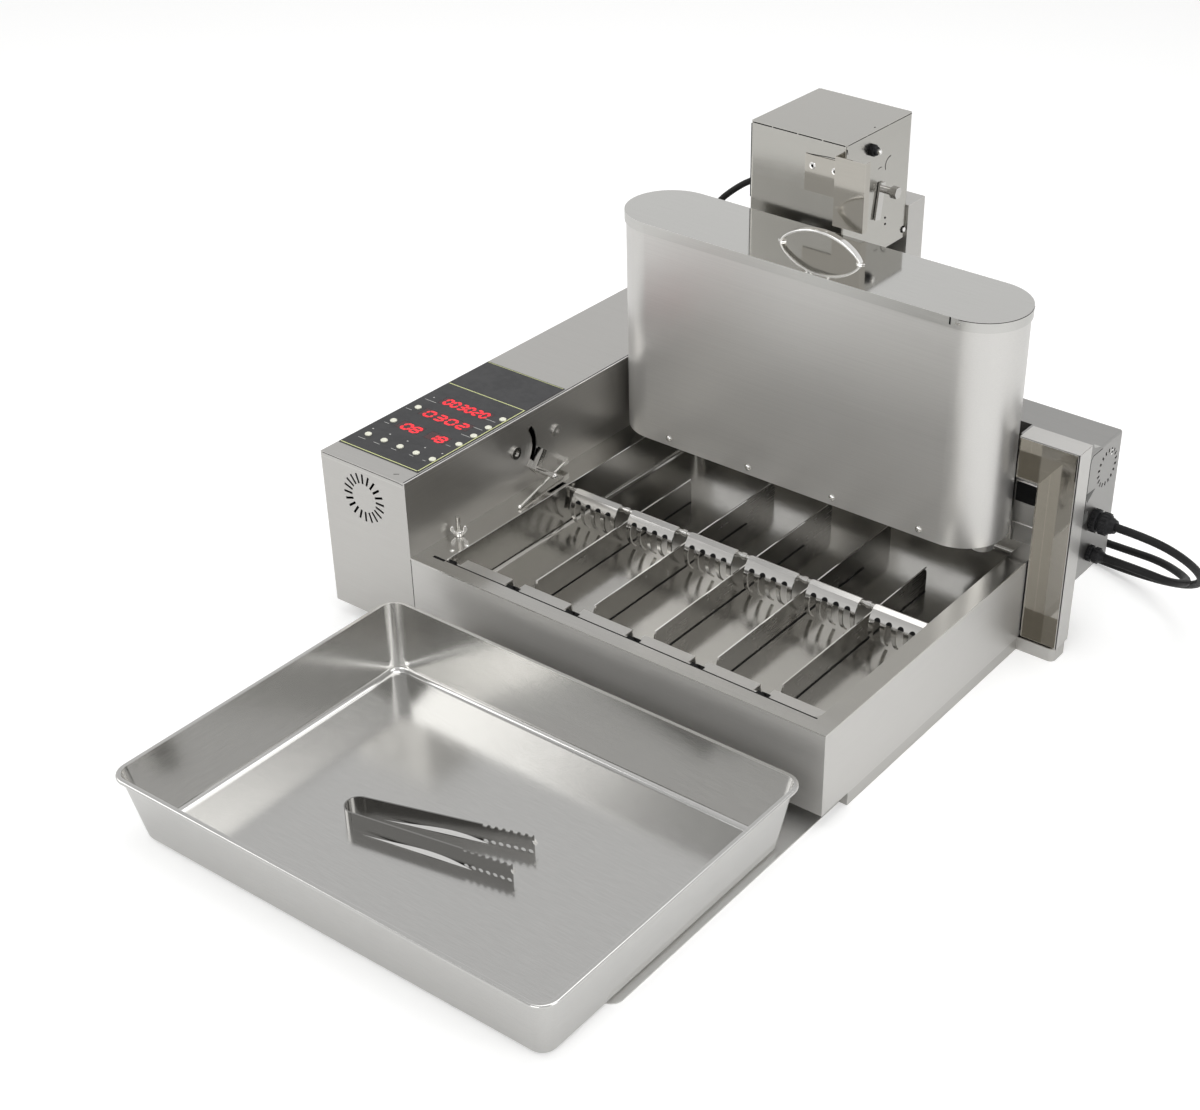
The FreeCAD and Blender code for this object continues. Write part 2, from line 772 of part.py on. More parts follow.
# Flipper: a cross shaft with collars and an end lever, and six combs with curved fingers
flipRod = cylinder("FlipRod", rodLeft, s.flipY, s.flipZ, s.flipRodRadius, rodLength, alongX())
combWidth = (s.combFingers - 1) * fingerPitch + s.fingerWidth
COLLAR_LENGTH = 6
COLLAR_WALL = 1.3
LEVER = (2, 9, 26)
collars = []
for i in range(5):
    x = laneFirst + i * lanePitch
    collars.append(cylinder("Collar" + str(i), x - COLLAR_LENGTH / 2, s.flipY, s.flipZ,
                            s.flipRodRadius + COLLAR_WALL, COLLAR_LENGTH, alongX()))
lever = turnedBox("EndLever", (rodLeft + s.lugThick + LEVER[0] / 2, s.flipY - 3, s.flipZ - LEVER[2] / 2 + 1),
                  LEVER, aboutX(-14))
node(fuse("FlipShaft", flipRod, lever, *collars), "flipper_shaft")

HUB_WALL = 1.5
ARC_Y = 14
ARC_Z = -18
ARC_START = 137
ARC_SWEEP = 98
STRIP_Y = -7.8
STRIP_Z = 1.4
STRIP_TILT = 22
SLOT_TOP = -6


def combBody(name):
    body = doc.addObject("PartDesign::Body", name)
    start = -combWidth / 2

    def round_(kind, part, radius, length, turn, angle, y=0, z=0, x=start):
        item = body.newObject("PartDesign::" + kind + "Cylinder", name + part)
        bind(item, Radius=radius, Height=length)
        item.Angle = angle
        item.Placement = FreeCAD.Placement(Vector(0, y, z), turn)
        item.setExpression("Placement.Base.x", x.text)
        return item

    round_("Additive", "Arc", s.combArc + s.combSheet / 2, combWidth, alongX(ARC_START), ARC_SWEEP,
           ARC_Y, ARC_Z)
    round_("Subtractive", "ArcInside", s.combArc - s.combSheet / 2, combWidth + 2, alongX(), 360,
           ARC_Y, ARC_Z, start - 1)
    strip = body.newObject("PartDesign::AdditiveBox", name + "Strip")
    bind(strip, Length=combWidth, Width=s.combStrip, Height=s.combSheet)
    strip.Placement = FreeCAD.Placement(Vector(0, STRIP_Y, STRIP_Z), aboutX(STRIP_TILT))
    strip.setExpression("Placement.Base.x", start.text)
    round_("Additive", "Hub", s.flipRodRadius + HUB_WALL, combWidth, alongX(), 360)
    round_("Subtractive", "Bore", s.flipRodRadius + s.shaftGap, combWidth + 2, alongX(), 360,
           0, 0, start - 1)
    doc.recompute()
    slotWidth = fingerPitch - s.fingerWidth
    foot = fingerPitch - s.fingerTip
    low = measure(ARC_Z) - s.combArc
    corners = [(-slotWidth / 2, SLOT_TOP - slotWidth / 2), (-slotWidth / 3, SLOT_TOP - slotWidth / 7),
               (measure(0), measure(SLOT_TOP)), (slotWidth / 3, SLOT_TOP - slotWidth / 7),
               (slotWidth / 2, SLOT_TOP - slotWidth / 2), (foot / 2, low), (-foot / 2, low)]
    first = -combWidth / 2 + s.fingerWidth / 2 + fingerPitch / 2
    before = body.Shape.Volume
    sketch = outline(body, "XZ_Plane", corners, "Slot")
    sketch.setExpression("AttachmentOffset.Base.x", first.text)
    sketch.setExpression("AttachmentOffset.Base.z", s.combArc.text)
    pocket = body.newObject("PartDesign::Pocket", name + "Pocket")
    pocket.Profile = sketch
    bind(pocket, Length=3 * s.combArc)
    pattern = body.newObject("PartDesign::LinearPattern", name + "Teeth")
    pattern.Originals = [pocket]
    pattern.Direction = (sketch, ["H_Axis"])
    bind(pattern, Length=(s.combFingers - 2) * fingerPitch)
    pattern.Occurrences = SIZES["combFingers"] - 1
    body.Tip = pattern
    doc.recompute()
    print(name, "teeth cut", round(before - body.Shape.Volume), "cubic mm")
    return body


for i, x in enumerate(laneMiddles):
    comb = combBody("Comb" + str(i + 1))
    node(place(comb, x, s.flipY, s.flipZ), "flipper_comb_" + str(i + 1))

# Rocker: hub, arm and slot pin inside the box, and outside it a flanged plate with the drive pin
ray = math.radians(s.rockerRest.value)
INNER_ARM = (2.5, 9)
PLATE = (2.5, 27, 19)
PLATE_TURN = 52.4
PLATE_Y = 40
PLATE_Z = -24.8
PLATE_FLANGE = 10
HUB_PROUD = 3
outside = s.boxWidth + s.runGap
armX = s.boxWidth - s.sheetWall - s.runGap - INNER_ARM[0]
rockerTurn = aboutX(s.rockerRest.value)
plateTurn = aboutX(PLATE_TURN)


def onRay(arc):
    return (s.rockerY + arc * math.cos(ray), s.rockerZ + arc * math.sin(ray))


rockerHub = cylinder("RockerHub", armX - 2, s.rockerY, s.rockerZ, s.rockerHub,
                     outside + HUB_PROUD - armX + 2, alongX())
hubBore = cylinder("RockerBore", outside + 1, s.rockerY, s.rockerZ, s.rockerHub / 2, HUB_PROUD, alongX())
rockerArm = turnedBox("RockerArm", (armX + INNER_ARM[0] / 2, *onRay(s.rockerSlotArc / 2)),
                      (INNER_ARM[0], s.rockerSlotArc + 6, INNER_ARM[1]), rockerTurn)
slotPin = cylinder("SlotPin", armX, *onRay(s.rockerSlotArc), s.rockerSlotWidth / 2 - s.runGap,
                   outside - armX + 1, alongX())
plateX = outside + PLATE[0] / 2
rockerPlate = turnedBox("RockerPlate", (plateX, s.rockerY + PLATE_Y, s.rockerZ + PLATE_Z), PLATE, plateTurn)
edge = plateTurn.multVec(Vector(0, 0, PLATE[2] / 2 - s.sheetWall.value / 2))
rockerFlange = turnedBox("RockerFlange", (outside + PLATE_FLANGE / 2, s.rockerY + PLATE_Y + edge.y,
                                          s.rockerZ + PLATE_Z + edge.z),
                         (PLATE_FLANGE, PLATE[1], s.sheetWall), plateTurn)
rockerLug = turnedBox("RockerLug", (plateX, *onRay(s.rockerPinArc - 9)), (PLATE[0], 26, 10), rockerTurn)
pinLength = s.boxWidth + s.rockerPinReach - outside - s.rockerPinRadius
drivePin = cylinder("DrivePin", outside, *onRay(s.rockerPinArc), s.rockerPinRadius, pinLength, alongX())
pinEnd = ball("PinEnd", outside + pinLength, *onRay(s.rockerPinArc), s.rockerPinRadius)
rockerWhole = fuse("RockerWhole", rockerHub, rockerArm, slotPin, rockerPlate, rockerFlange, rockerLug,
                   drivePin, pinEnd)
node(cut("Rocker", rockerWhole, hubBore), "drive_rocker")

# Temperature probe lying from the box wall to the gutter
PROBE_RADIUS = 1.6
CAP_RADIUS = 2.6
PROBE_CLIP = (10, 10, 8)
PROBE_BACK = 271
PROBE_FRONT = 163
probeFront = (s.boxWidth + PROBE_CLIP[0] + 16.5, measure(PROBE_FRONT), s.tankHeight + CAP_RADIUS)
probeBack = (s.boxWidth + PROBE_CLIP[0] - 1.5, measure(PROBE_BACK), s.tankHeight + 11)
clip = box("ProbeClip", s.boxWidth, PROBE_BACK - PROBE_CLIP[1] / 2, s.tankHeight + 7, *PROBE_CLIP)
probeCap = ball("ProbeCap", *probeFront, CAP_RADIUS)
probeRod = bar("ProbeRod", probeBack, probeFront, PROBE_RADIUS)
node(fuse("Probe", probeRod, clip, probeCap), "temperature_probe")

# Wing nut on its stud, with its wings along Y at rest and short enough to turn beside the box
WING_REACH = 5.6
WING_LEAN = 18
NUT_RADIUS = 5.2
NUT_HEIGHT = 8
nutHub = cylinder("NutHub", studX, s.studY, s.tankHeight, NUT_RADIUS, NUT_HEIGHT)
wings = [turnedBox("Wing" + str(i), (studX, s.studY + sign * WING_REACH, s.tankHeight + 10),
                   (2.2, 5.5, 13), aboutX(-sign * WING_LEAN)) for i, sign in enumerate((-1, 1))]
nutBore = cylinder("NutBore", studX, s.studY, s.tankHeight - 1, s.studRadius + s.shaftGap, s.studHeight)
node(cut("WingNut", fuse("WingNutBody", nutHub, *wings), nutBore), "wing_nut")

# Batter hopper with six nozzles, open at its rear for the plunger arm
hopperRim = s.lidTop - s.sheetWall
towerMiddle = (s.towerLeft + s.towerRight) / 2
hopperOuter = stadium("HopperOuter", hopperLeft, hopperRight, s.hopperY, s.hopperBottom, s.hopperRadius,
                      hopperRim - s.hopperBottom)
hopperInner = stadium("HopperInner", hopperLeft + s.sheetWall, hopperRight - s.sheetWall, s.hopperY,
                      s.hopperBottom + s.sheetWall, s.hopperRadius - s.sheetWall, hopperRim - s.hopperBottom)
nozzles = [cone("Nozzle" + str(i), x, s.hopperY, s.hopperBottom - s.nozzleDrop, s.nozzleRadius - 3,
                s.nozzleRadius, s.nozzleDrop) for i, x in enumerate(laneMiddles)]
nozzleBores = [cylinder("NozzleBore" + str(i), x, s.hopperY, s.hopperBottom - s.nozzleDrop - 1, s.nozzleBore,
                        s.nozzleDrop + 2 * s.sheetWall + 1) for i, x in enumerate(laneMiddles)]
SLOT_CLEAR = 1.5
armSlot = box("ArmSlot", towerMiddle - s.armWidth / 2 - SLOT_CLEAR, s.hopperY + s.hopperRadius / 2,
              s.beamZ - SLOT_CLEAR, s.armWidth + 2 * SLOT_CLEAR, s.hopperRadius,
              hopperRim - s.beamZ + 2 * SLOT_CLEAR)
hopperBody = fuse("HopperBody", hopperOuter, *nozzles)
node(cut("Hopper", hopperBody, hopperInner, armSlot, *nozzleBores), "batter_hopper")

# Plunger beam with its arm to the tower and six plungers
beam = box("Beam", laneMiddles[0] - s.beamWidth / 2, s.hopperY - s.beamWidth / 2, s.beamZ,
           5 * lanePitch + s.beamWidth, s.beamWidth, s.beamHeight)
liftArm = box("LiftArm", towerMiddle - s.armWidth / 2, s.hopperY, s.beamZ, s.armWidth,
              s.towerFront + 30 - s.hopperY, s.beamHeight)
PISTON_LENGTH = 24
pistonZ = s.hopperBottom - s.nozzleDrop + 4
plungers = []
for i, x in enumerate(laneMiddles):
    plungers.append(cylinder("Plunger" + str(i), x, s.hopperY, pistonZ, s.plungerRadius,
                             s.beamZ - pistonZ + 1))
    plungers.append(cylinder("Piston" + str(i), x, s.hopperY, pistonZ, s.pistonRadius, PISTON_LENGTH))
node(fuse("PlungerBeam", beam, liftArm, *plungers), "plunger_beam")

# Lid with its bow handle
lidOuter = stadium("LidOuter", hopperLeft - s.lidOver, hopperRight + s.lidOver, s.hopperY,
                   s.lidTop - s.lidSkirt, s.hopperRadius + s.lidOver, s.lidSkirt)
lidInner = stadium("LidInner", hopperLeft - s.runGap, hopperRight + s.runGap, s.hopperY,
                   s.lidTop - s.lidSkirt - 1, s.hopperRadius + s.runGap, s.lidSkirt - s.sheetWall + 1)
node(cut("Lid", lidOuter, lidInner), "hopper_lid")

handleEnd = s.handleSpan / 2
handlePoints = [
    (s.handleX - handleEnd, s.hopperY, s.lidTop),
    (s.handleX - handleEnd, s.hopperY, s.lidTop + 0.5 * s.handleRise),
    (s.handleX - 0.55 * handleEnd, s.hopperY, s.lidTop + 0.92 * s.handleRise),
    (s.handleX, s.hopperY, s.lidTop + s.handleRise),
    (s.handleX + 0.55 * handleEnd, s.hopperY, s.lidTop + 0.92 * s.handleRise),
    (s.handleX + handleEnd, s.hopperY, s.lidTop + 0.5 * s.handleRise),
    (s.handleX + handleEnd, s.hopperY, s.lidTop),
]
feet = [cylinder("HandleFoot" + str(i), s.handleX + sign * handleEnd, s.hopperY, s.lidTop, 7, 2.5)
        for i, sign in enumerate((-1, 1))]
node(fuse("Handle", tube("HandleBow", handlePoints, s.handleWire), *feet), "lid_handle")

# Column with the arm that carries the hopper
postBack = s.footBack - s.sheetWall
post = box("Post", s.columnLeft, s.columnFront, s.sheetWall, s.columnRight - s.columnLeft,
           postBack - s.columnFront, s.columnTop - s.sheetWall)
postHollow = box("PostHollow", s.columnLeft + 2, s.columnFront + 2, s.sheetWall - 1,
                 s.columnRight - s.columnLeft - 4, postBack - s.columnFront - 4,
                 s.columnTop - s.sheetWall - 1)
ARM_INSET = 20
hopperBack = s.hopperY + s.hopperRadius
carrier = box("Carrier", s.columnLeft + ARM_INSET, hopperBack, s.hopperArmZ,
              s.columnRight - s.columnLeft - 2 * ARM_INSET, s.columnFront + 2 - hopperBack,
              s.hopperArmHeight)
carrierHollow = box("CarrierHollow", s.columnLeft + ARM_INSET + 2, hopperBack + 2, s.hopperArmZ - 1,
                    s.columnRight - s.columnLeft - 2 * ARM_INSET - 4, s.columnFront - 2 - hopperBack,
                    s.hopperArmHeight - 1)
node(fuse("Column", cut("PostTube", post, postHollow), cut("CarrierArm", carrier, carrierHollow)), "column")

# Gear-motor tower on the column
tower = blockBody("Tower", s.towerRight - s.towerLeft, s.towerBack - s.towerFront,
                  s.towerTop - s.towerBottom)
roundEdges(tower, 2 * s.sheetWall, rising)
hollow(tower, s.sheetWall, atHeight(0))
place(tower, s.towerLeft, s.towerFront, s.towerBottom)
towerSlot = box("TowerSlot", towerMiddle - s.armWidth / 2 - SLOT_CLEAR, s.towerFront - 5, s.beamZ - 10,
                s.armWidth + 2 * SLOT_CLEAR, 10, s.beamHeight + s.plungerTravel + 10 + SLOT_CLEAR)
shaftBore = cylinder("ShaftBore", s.towerRight - 5, s.crankY, s.crankZ, s.crankShaft + s.shaftGap, 10,
                     alongX())
STEM_RADIUS = 3
stemBore = cylinder("StemBore", s.towerRight - 5, s.knobY, s.knobZ, STEM_RADIUS + s.shaftGap, 10, alongX())
node(cut("TowerCut", tower, towerSlot, shaftBore, stemBore), "tower_housing")

channelDepth = s.towerFront - s.channelFront
channelOuter = box("ChannelOuter", s.channelLeft, s.channelFront, s.channelBottom,
                   s.channelRight - s.channelLeft, channelDepth, s.channelTop - s.channelBottom)
channelInner = box("ChannelInner", s.channelLeft + s.sheetWall, s.channelFront + s.sheetWall,
                   s.channelBottom - 1,
                   s.channelRight - s.channelLeft - 2 * s.sheetWall, channelDepth,
                   s.channelTop - s.channelBottom + 2)
FLANGE_RISE = 30
channelFlange = box("ChannelFlange", s.channelFlangeLeft, s.towerFront - s.sheetWall,
                    s.channelBottom + FLANGE_RISE,
                    s.channelLeft + s.sheetWall - s.channelFlangeLeft, s.sheetWall,
                    s.channelFlangeTop - s.channelBottom - FLANGE_RISE)
node(fuse("Channel", cut("ChannelProfile", channelOuter, channelInner), channelFlange), "tower_channel")

# Output crank and stroke knob on the tower's right side
CRANK_GAP = 1
CRANK_PLATE = (2.5, 12)
CRANK_ASIDE = 7.5
CRANK_RISE = 11
NUT_LENGTH = 9
CRANK_INSIDE = 30
lean = math.radians(s.crankLean.value)
crankRod = cylinder("CrankRod", s.towerRight - CRANK_INSIDE, s.crankY, s.crankZ, s.crankShaft,
                    CRANK_INSIDE + s.crankReach - NUT_LENGTH / 2, alongX())
plateReach = s.crankArm / 2 - CRANK_RISE
crankPlate = turnedBox("CrankPlate", (s.towerRight + CRANK_GAP + CRANK_PLATE[0] / 2,
                                      s.crankY - CRANK_ASIDE + plateReach * math.sin(lean),
                                      s.crankZ - plateReach * math.cos(lean)),
                       (*CRANK_PLATE, s.crankArm), aboutX(s.crankLean.value))
crankNut = doc.addObject("Part::Prism", "CrankNut")
crankNut.Polygon = 6
bind(crankNut, Circumradius=s.crankShaft + 3, Height=NUT_LENGTH)
place(crankNut, s.towerRight + s.crankReach - NUT_LENGTH, s.crankY, s.crankZ, alongX())
node(fuse("Crank", crankRod, crankPlate, crankNut), "output_crank")

knobX = s.towerRight + s.runGap
knobStem = cylinder("KnobStem", s.towerRight - 12, s.knobY, s.knobZ, STEM_RADIUS, 14, alongX())
KNOB_SKIRT = 3
knobSkirt = cylinder("KnobSkirt", knobX, s.knobY, s.knobZ, s.knobRadius, KNOB_SKIRT, alongX())
knobGrip = cone("KnobGrip", knobX + KNOB_SKIRT - 1, s.knobY, s.knobZ, s.knobRadius - 1, s.knobRadius - 2,
                s.knobLength - KNOB_SKIRT + 1, alongX())
node(fuse("Knob", knobStem, knobSkirt, knobGrip), "stroke_knob")

# Folded rear plate with a window over the tank
rearDepth = heaterFront - s.rearFront
plateLeft = s.bodyWidth + s.plateGap
rearPlate = padBody("RearPlate", "XZ_Plane", [
    (rearLeft, s.windowTop),
    (plateLeft, s.windowTop),
    (plateLeft, s.baseHeight),
    (rearRight, s.baseHeight),
    (rearRight, s.rearTop),
    (rearLeft, s.rearTop),
], rearDepth)
lowEdge = s.baseHeight.value + 0.1
highEdge = s.rearTop.value - 0.1
roundEdges(rearPlate, s.rearCorner,
           lambda edge: edge.BoundBox.XMin > rightEdge and edge.BoundBox.ZMax < lowEdge)
roundEdges(rearPlate, 2 * s.sheetWall,
           lambda edge: edge.BoundBox.XMin > rightEdge and edge.BoundBox.ZMin > highEdge, "Top")
frontY = -rearDepth.value
hollow(rearPlate, s.sheetWall,
       lambda face: abs(face.BoundBox.YMin - frontY) < 0.01 and face.BoundBox.YLength < 0.01)
node(place(rearPlate, 0, heaterFront, 0), "rear_plate")

# Electrical box behind it, with a wing behind the hopper, open below and in two bands behind the window
heaterDepth = s.heaterBack - heaterFront
heaterLeft = s.bodyWidth - s.heaterOverlap
heater = padBody("Heater", "XZ_Plane", [
    (heaterLeft, s.tankHeight),
    (s.bodyWidth, s.tankHeight),
    (s.bodyWidth, s.heaterDrop),
    (rearRight, s.heaterDrop),
    (rearRight, s.heaterTop),
    (heaterLeft, s.heaterTop),
], heaterDepth)
notch = heater.newObject("PartDesign::SubtractiveBox", "HeaterNotch")
stepX = s.bodyWidth - s.heaterStep
bind(notch, Length=stepX - heaterLeft + 1, Width=s.heaterWingFront - heaterFront + 1,
     Height=s.heaterTop - s.tankHeight + 2)
for axis, value in zip("xyz", (heaterLeft - 1, -heaterDepth - 1, s.tankHeight - 1)):
    notch.setExpression("Placement.Base." + axis, value.text)
doc.recompute()
boxHigh = s.heaterTop.value - 0.1
roundEdges(heater, 2 * s.sheetWall,
           lambda edge: edge.BoundBox.XMin > rightEdge and edge.BoundBox.ZMin > boxHigh)
boxLow = s.tankHeight.value + 0.1
hollow(heater, s.sheetWall, lambda face: face.BoundBox.ZLength < 0.01 and face.BoundBox.ZMax < boxLow)
slotRing(heater, "YZ_Plane", s.heaterVentY - s.heaterBack, s.heaterVentZ, rearRight, s.heaterVentInner,
         s.heaterVentOuter, s.ventSlotWidth, SIZES["heaterVentSlots"], 2 * s.sheetWall)
place(heater, 0, s.heaterBack, 0)
bands = [box("Recess" + str(i), stepX + s.sheetWall, heaterFront - 1, low, s.heaterStep - 2 * s.sheetWall,
             s.sheetWall + 2, high - low)
         for i, (low, high) in enumerate(((s.tankHeight - 1, s.recessLip), (s.recessBottom, s.recessTop)))]
node(cut("HeaterCut", heater, *bands), "electrical_box")

# Two cord glands, the lower one smaller, their cords, and for each a coil and a plug behind the tank
GLAND_NUT = 0.3
GLAND_NECK = 0.27


def glandBody(name, z, share):
    radius = s.glandRadius * share
    length = s.glandLength * share
    nut = doc.addObject("Part::Prism", name + "Nut")
    nut.Polygon = 6
    bind(nut, Circumradius=radius, Height=length * GLAND_NUT)
    place(nut, rearRight, s.glandY, z, alongX())
    neck = cylinder(name + "Neck", rearRight, s.glandY, z, radius * 0.83, length * (GLAND_NUT + GLAND_NECK),
                    alongX())
    start = GLAND_NUT + GLAND_NECK
    tip = cone(name + "Tip", rearRight + length * start, s.glandY, z, radius * 0.83, s.cordRadius + 2,
               length * (1 - start), alongX())
    return fuse(name, nut, neck, tip)


node(glandBody("GlandUpper", s.glandUpperZ, measure(1)), "gland_upper")
node(glandBody("GlandLower", s.glandLowerZ, s.glandLowerShare), "gland_lower")

# The cords run straight out, bend back and down, and meet their coils along the coils' edge
upperEnd = rearRight + s.glandLength
lowerEnd = rearRight + s.glandLength * s.glandLowerShare
coilSide = s.coilY + s.coilLine
upperZ = s.cordRadius + s.runGap
lowerZ = s.coilHeight + s.cordRadius * 2 + s.runGap
reach = math.sqrt(s.coilOuter.value ** 2 - (s.coilLine - s.cordRadius).value ** 2)
cordEnd = coilX + reach + s.runGap
upperRoute = [
    (upperEnd, s.glandY, s.glandUpperZ),
    (rearRight + 75, s.glandY, s.glandUpperZ),
    (rearRight + 111, s.glandY + 19, s.glandUpperZ - 21),
    (rearRight + 123, s.glandY + 63, s.glandUpperZ - 65),
    (rearRight + 101, coilSide - 73, upperZ + 58),
    (rearRight + 49, coilSide - 37, upperZ + 25),
    (rearRight - 16, coilSide - 15, upperZ + 8),
    (rearRight - 70, coilSide, upperZ),
    (cordEnd, coilSide, upperZ),
]
lowerRoute = [
    (lowerEnd, s.glandY, s.glandLowerZ),
    (rearRight + 70, s.glandY, s.glandLowerZ),
    (rearRight + 100, s.glandY + 21, s.glandLowerZ - 16),
    (rearRight + 104, s.glandY + 67, s.glandLowerZ - 38),
    (rearRight + 82, coilSide - 67, lowerZ + 34),
    (rearRight + 36, coilSide - 33, lowerZ + 22),
    (rearRight - 20, coilSide - 12, lowerZ + 8),
    (rearRight - 68, coilSide, lowerZ),
    (cordEnd, coilSide, lowerZ),
]
COIL_HOLE = 0.55
TAIL = 18
PLUG_TAPER = 0.6
PIN_SPREAD = 9.5
PIN_RADIUS = 2.4
PIN_LENGTH = 19
upperSet = (upperRoute, "upper", measure(0), 110)
lowerSet = (lowerRoute, "lower", s.coilHeight, 140)
for route, name, low, leave in (upperSet, lowerSet):
    node(tube("Cord" + name, route, s.cordRadius), "cord_" + name)
    outer = cylinder("Coil" + name, coilX, s.coilY, low, s.coilOuter, s.coilHeight)
    inner = cylinder("CoilHole" + name, coilX, s.coilY, low - 1, s.coilOuter * COIL_HOLE, s.coilHeight + 2)
    node(cut("CoilRing" + name, outer, inner), "coil_" + name)
    tailZ = low + s.coilHeight / 2
    drop = (tailZ - s.plugRadius).value / (TAIL + s.plugLength.value)
    level = math.sqrt(1 - drop ** 2)
    a = math.radians(leave)
    ahead = Vector(-math.sin(a) * level, math.cos(a) * level, -drop)
    turn = Rotation(Vector(0, 0, 1), ahead)
    tailX = coilX + s.coilLine * math.cos(a) - (reach + s.runGap) * math.sin(a)
    tailY = s.coilY + s.coilLine * math.sin(a) + (reach + s.runGap) * math.cos(a)

    def onPlug(along, aside=0):
        return (tailX + along * ahead.x - aside * math.cos(a), tailY + along * ahead.y - aside * math.sin(a),
                tailZ + along * ahead.z)

    parts = [cylinder("Tail" + name, *onPlug(0), s.cordRadius, TAIL + 1, turn),
             cone("Grip" + name, *onPlug(TAIL), s.plugRadius * PLUG_TAPER, s.plugRadius, s.plugLength, turn)]
    for side in (-PIN_SPREAD, PIN_SPREAD):
        parts.append(cylinder("Pin" + name + str(side > 0), *onPlug(TAIL + s.plugLength, side), PIN_RADIUS,
                              PIN_LENGTH, turn))
    node(fuse("Plug" + name, *parts), "plug_" + name)

# Cable from the tower's left side down to the control box
towerRoute = [
    (s.towerLeft, 560, 438),
    (227, 560, 438),
    (206, 560, 427),
    (186, 560, 412),
    (165, 560, 393),
    (147, 560, 365),
    (134, 560, 331),
    (124, 560, 295),
    (116, 560, 258),
    (116, 560, s.boxTop),
]
node(tube("TowerCable", towerRoute, s.towerCordRadius), "tower_cable")


# Catch pan: tapered and rounded, with an even wall and a rolled rim
# The pan's block, or the hollow in it, drawn in by one wall and reaching up past the rim
def bowlBlock(name, wall, above):
    slope = s.panTaper / s.panHeight
    length = s.bodyWidth - s.panLeft - 2 * s.panRim
    width = s.panBack - s.panFront - 2 * s.panRim
    low = s.panTaper + wall - wall * slope
    high = wall - above * slope
    body = doc.addObject("PartDesign::Body", name)
    wedge = body.newObject("PartDesign::AdditiveWedge", name + "Wedge")
    bind(wedge, Xmin=low, Xmax=length - low, Zmin=low, Zmax=width - low, Ymin=wall,
         X2min=high, X2max=length - high, Z2min=high, Z2max=width - high, Ymax=s.panHeight + above)
    wedge.Placement = FreeCAD.Placement(Vector(), aboutX(90))
    doc.recompute()
    roundEdges(body, s.panCorner - wall, rising)
    roundEdges(body, s.panFoot - wall, atHeight(measure(wall).value), "Foot")
    return place(body, s.panLeft + s.panRim, s.panBack - s.panRim, s.sheetWall)


rim = blockBody("Rim", s.bodyWidth - s.panLeft, s.panBack - s.panFront, s.rimHeight)
roundEdges(rim, s.panCorner + s.panRim, rising)
roundEdges(rim, s.rimHeight / 2 - 0.2, atHeight(0), "Under")
roundEdges(rim, s.rimHeight / 2 - 0.2, atHeight(s.rimHeight.value), "Over")
place(rim, s.panLeft, s.panFront, s.sheetWall + s.panHeight - s.rimHeight)
panBlock = fuse("PanBlock", bowlBlock("Bowl", measure(0), measure(0)), rim)
node(cut("Pan", panBlock, bowlBlock("BowlInside", s.panWall, measure(2))), "catch_pan")

# Tongs: two arms joined by a spring bow, standing on edge in the pan
tongsZ = s.sheetWall + s.panWall
heading = math.radians(s.tongsTurn.value)


def alongTongs(ahead, aside):
    return (s.tongsX + ahead * math.cos(heading) - aside * math.sin(heading),
            s.tongsY + ahead * math.sin(heading) + aside * math.cos(heading))


TEETH = 7


def tongsArm(name, side):
    angle = math.radians(s.tongsOpen.value) * side
    nose = s.tongsStrip / 2
    start = s.runGap + nose if side < 0 else measure(0)
    length = s.tongsLength - s.tongsBow - start
    turn = Rotation(Vector(0, 0, 1), s.tongsTurn.value + side * s.tongsOpen.value)

    def onArm(along):
        return alongTongs(along * math.cos(angle), side * s.tongsBow + along * math.sin(angle))

    arm = turnedBox(name + "Strip", (*onArm(start + length / 2), tongsZ + s.tongsHeight / 2),
                    (length, s.tongsStrip, s.tongsHeight), turn)
    if side < 0:
        noseEnd = cylinder(name + "Nose", *onArm(start), tongsZ, nose, s.tongsHeight)
        arm = fuse(name + "Rounded", arm, noseEnd)
    across = turn.multVec(Vector(0, 1, 0))
    teeth = []
    for k in range(TEETH):
        x, y = onArm(start + length - s.toothPitch * (k + 0.5))
        for level, z in (("Low", tongsZ), ("High", tongsZ + s.tongsHeight)):
            teeth.append(cylinder(name + level + str(k), x - 3 * across.x, y - 3 * across.y, z,
                                  s.toothRadius, 6, Rotation(Vector(0, 0, 1), across)))
    return cut(name, arm, *teeth)


bowStart = Rotation(Vector(0, 0, 1), s.tongsTurn.value + 90)
bowOuter = cylinder("BowOuter", s.tongsX, s.tongsY, tongsZ, s.tongsBow + s.tongsStrip / 2, s.tongsHeight,
                    bowStart, 180)
bowInner = cylinder("BowInner", s.tongsX, s.tongsY, tongsZ - 1, s.tongsBow - s.tongsStrip / 2,
                    s.tongsHeight + 2)
node(fuse("TongsFixed", cut("Bow", bowOuter, bowInner), tongsArm("ArmFixed", 1)), "tongs_arm_fixed")
node(tongsArm("ArmSwing", -1), "tongs_arm_swing")

doc.recompute()

# Every object is sound and every piece is one closed solid before anything is written
for item in doc.Objects:
    if "Invalid" in item.State or "Error" in item.State:
        raise RuntimeError(item.Name + " failed")
for item in nodes:
    if item.Shape.isNull() or not item.Shape.isValid():
        raise RuntimeError(item.Label + " has no sound shape")
os.makedirs("parts", exist_ok=True)
for item in nodes:
    item.Shape.exportStep("parts/" + item.Label + ".step")
    if len(item.Shape.Solids) != 1:
        print(item.Label, "has", len(item.Shape.Solids), "solids")
print(len(nodes), "pieces written")
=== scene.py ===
import math

import bpy
import numpy as np
from mathutils import Matrix, Vector


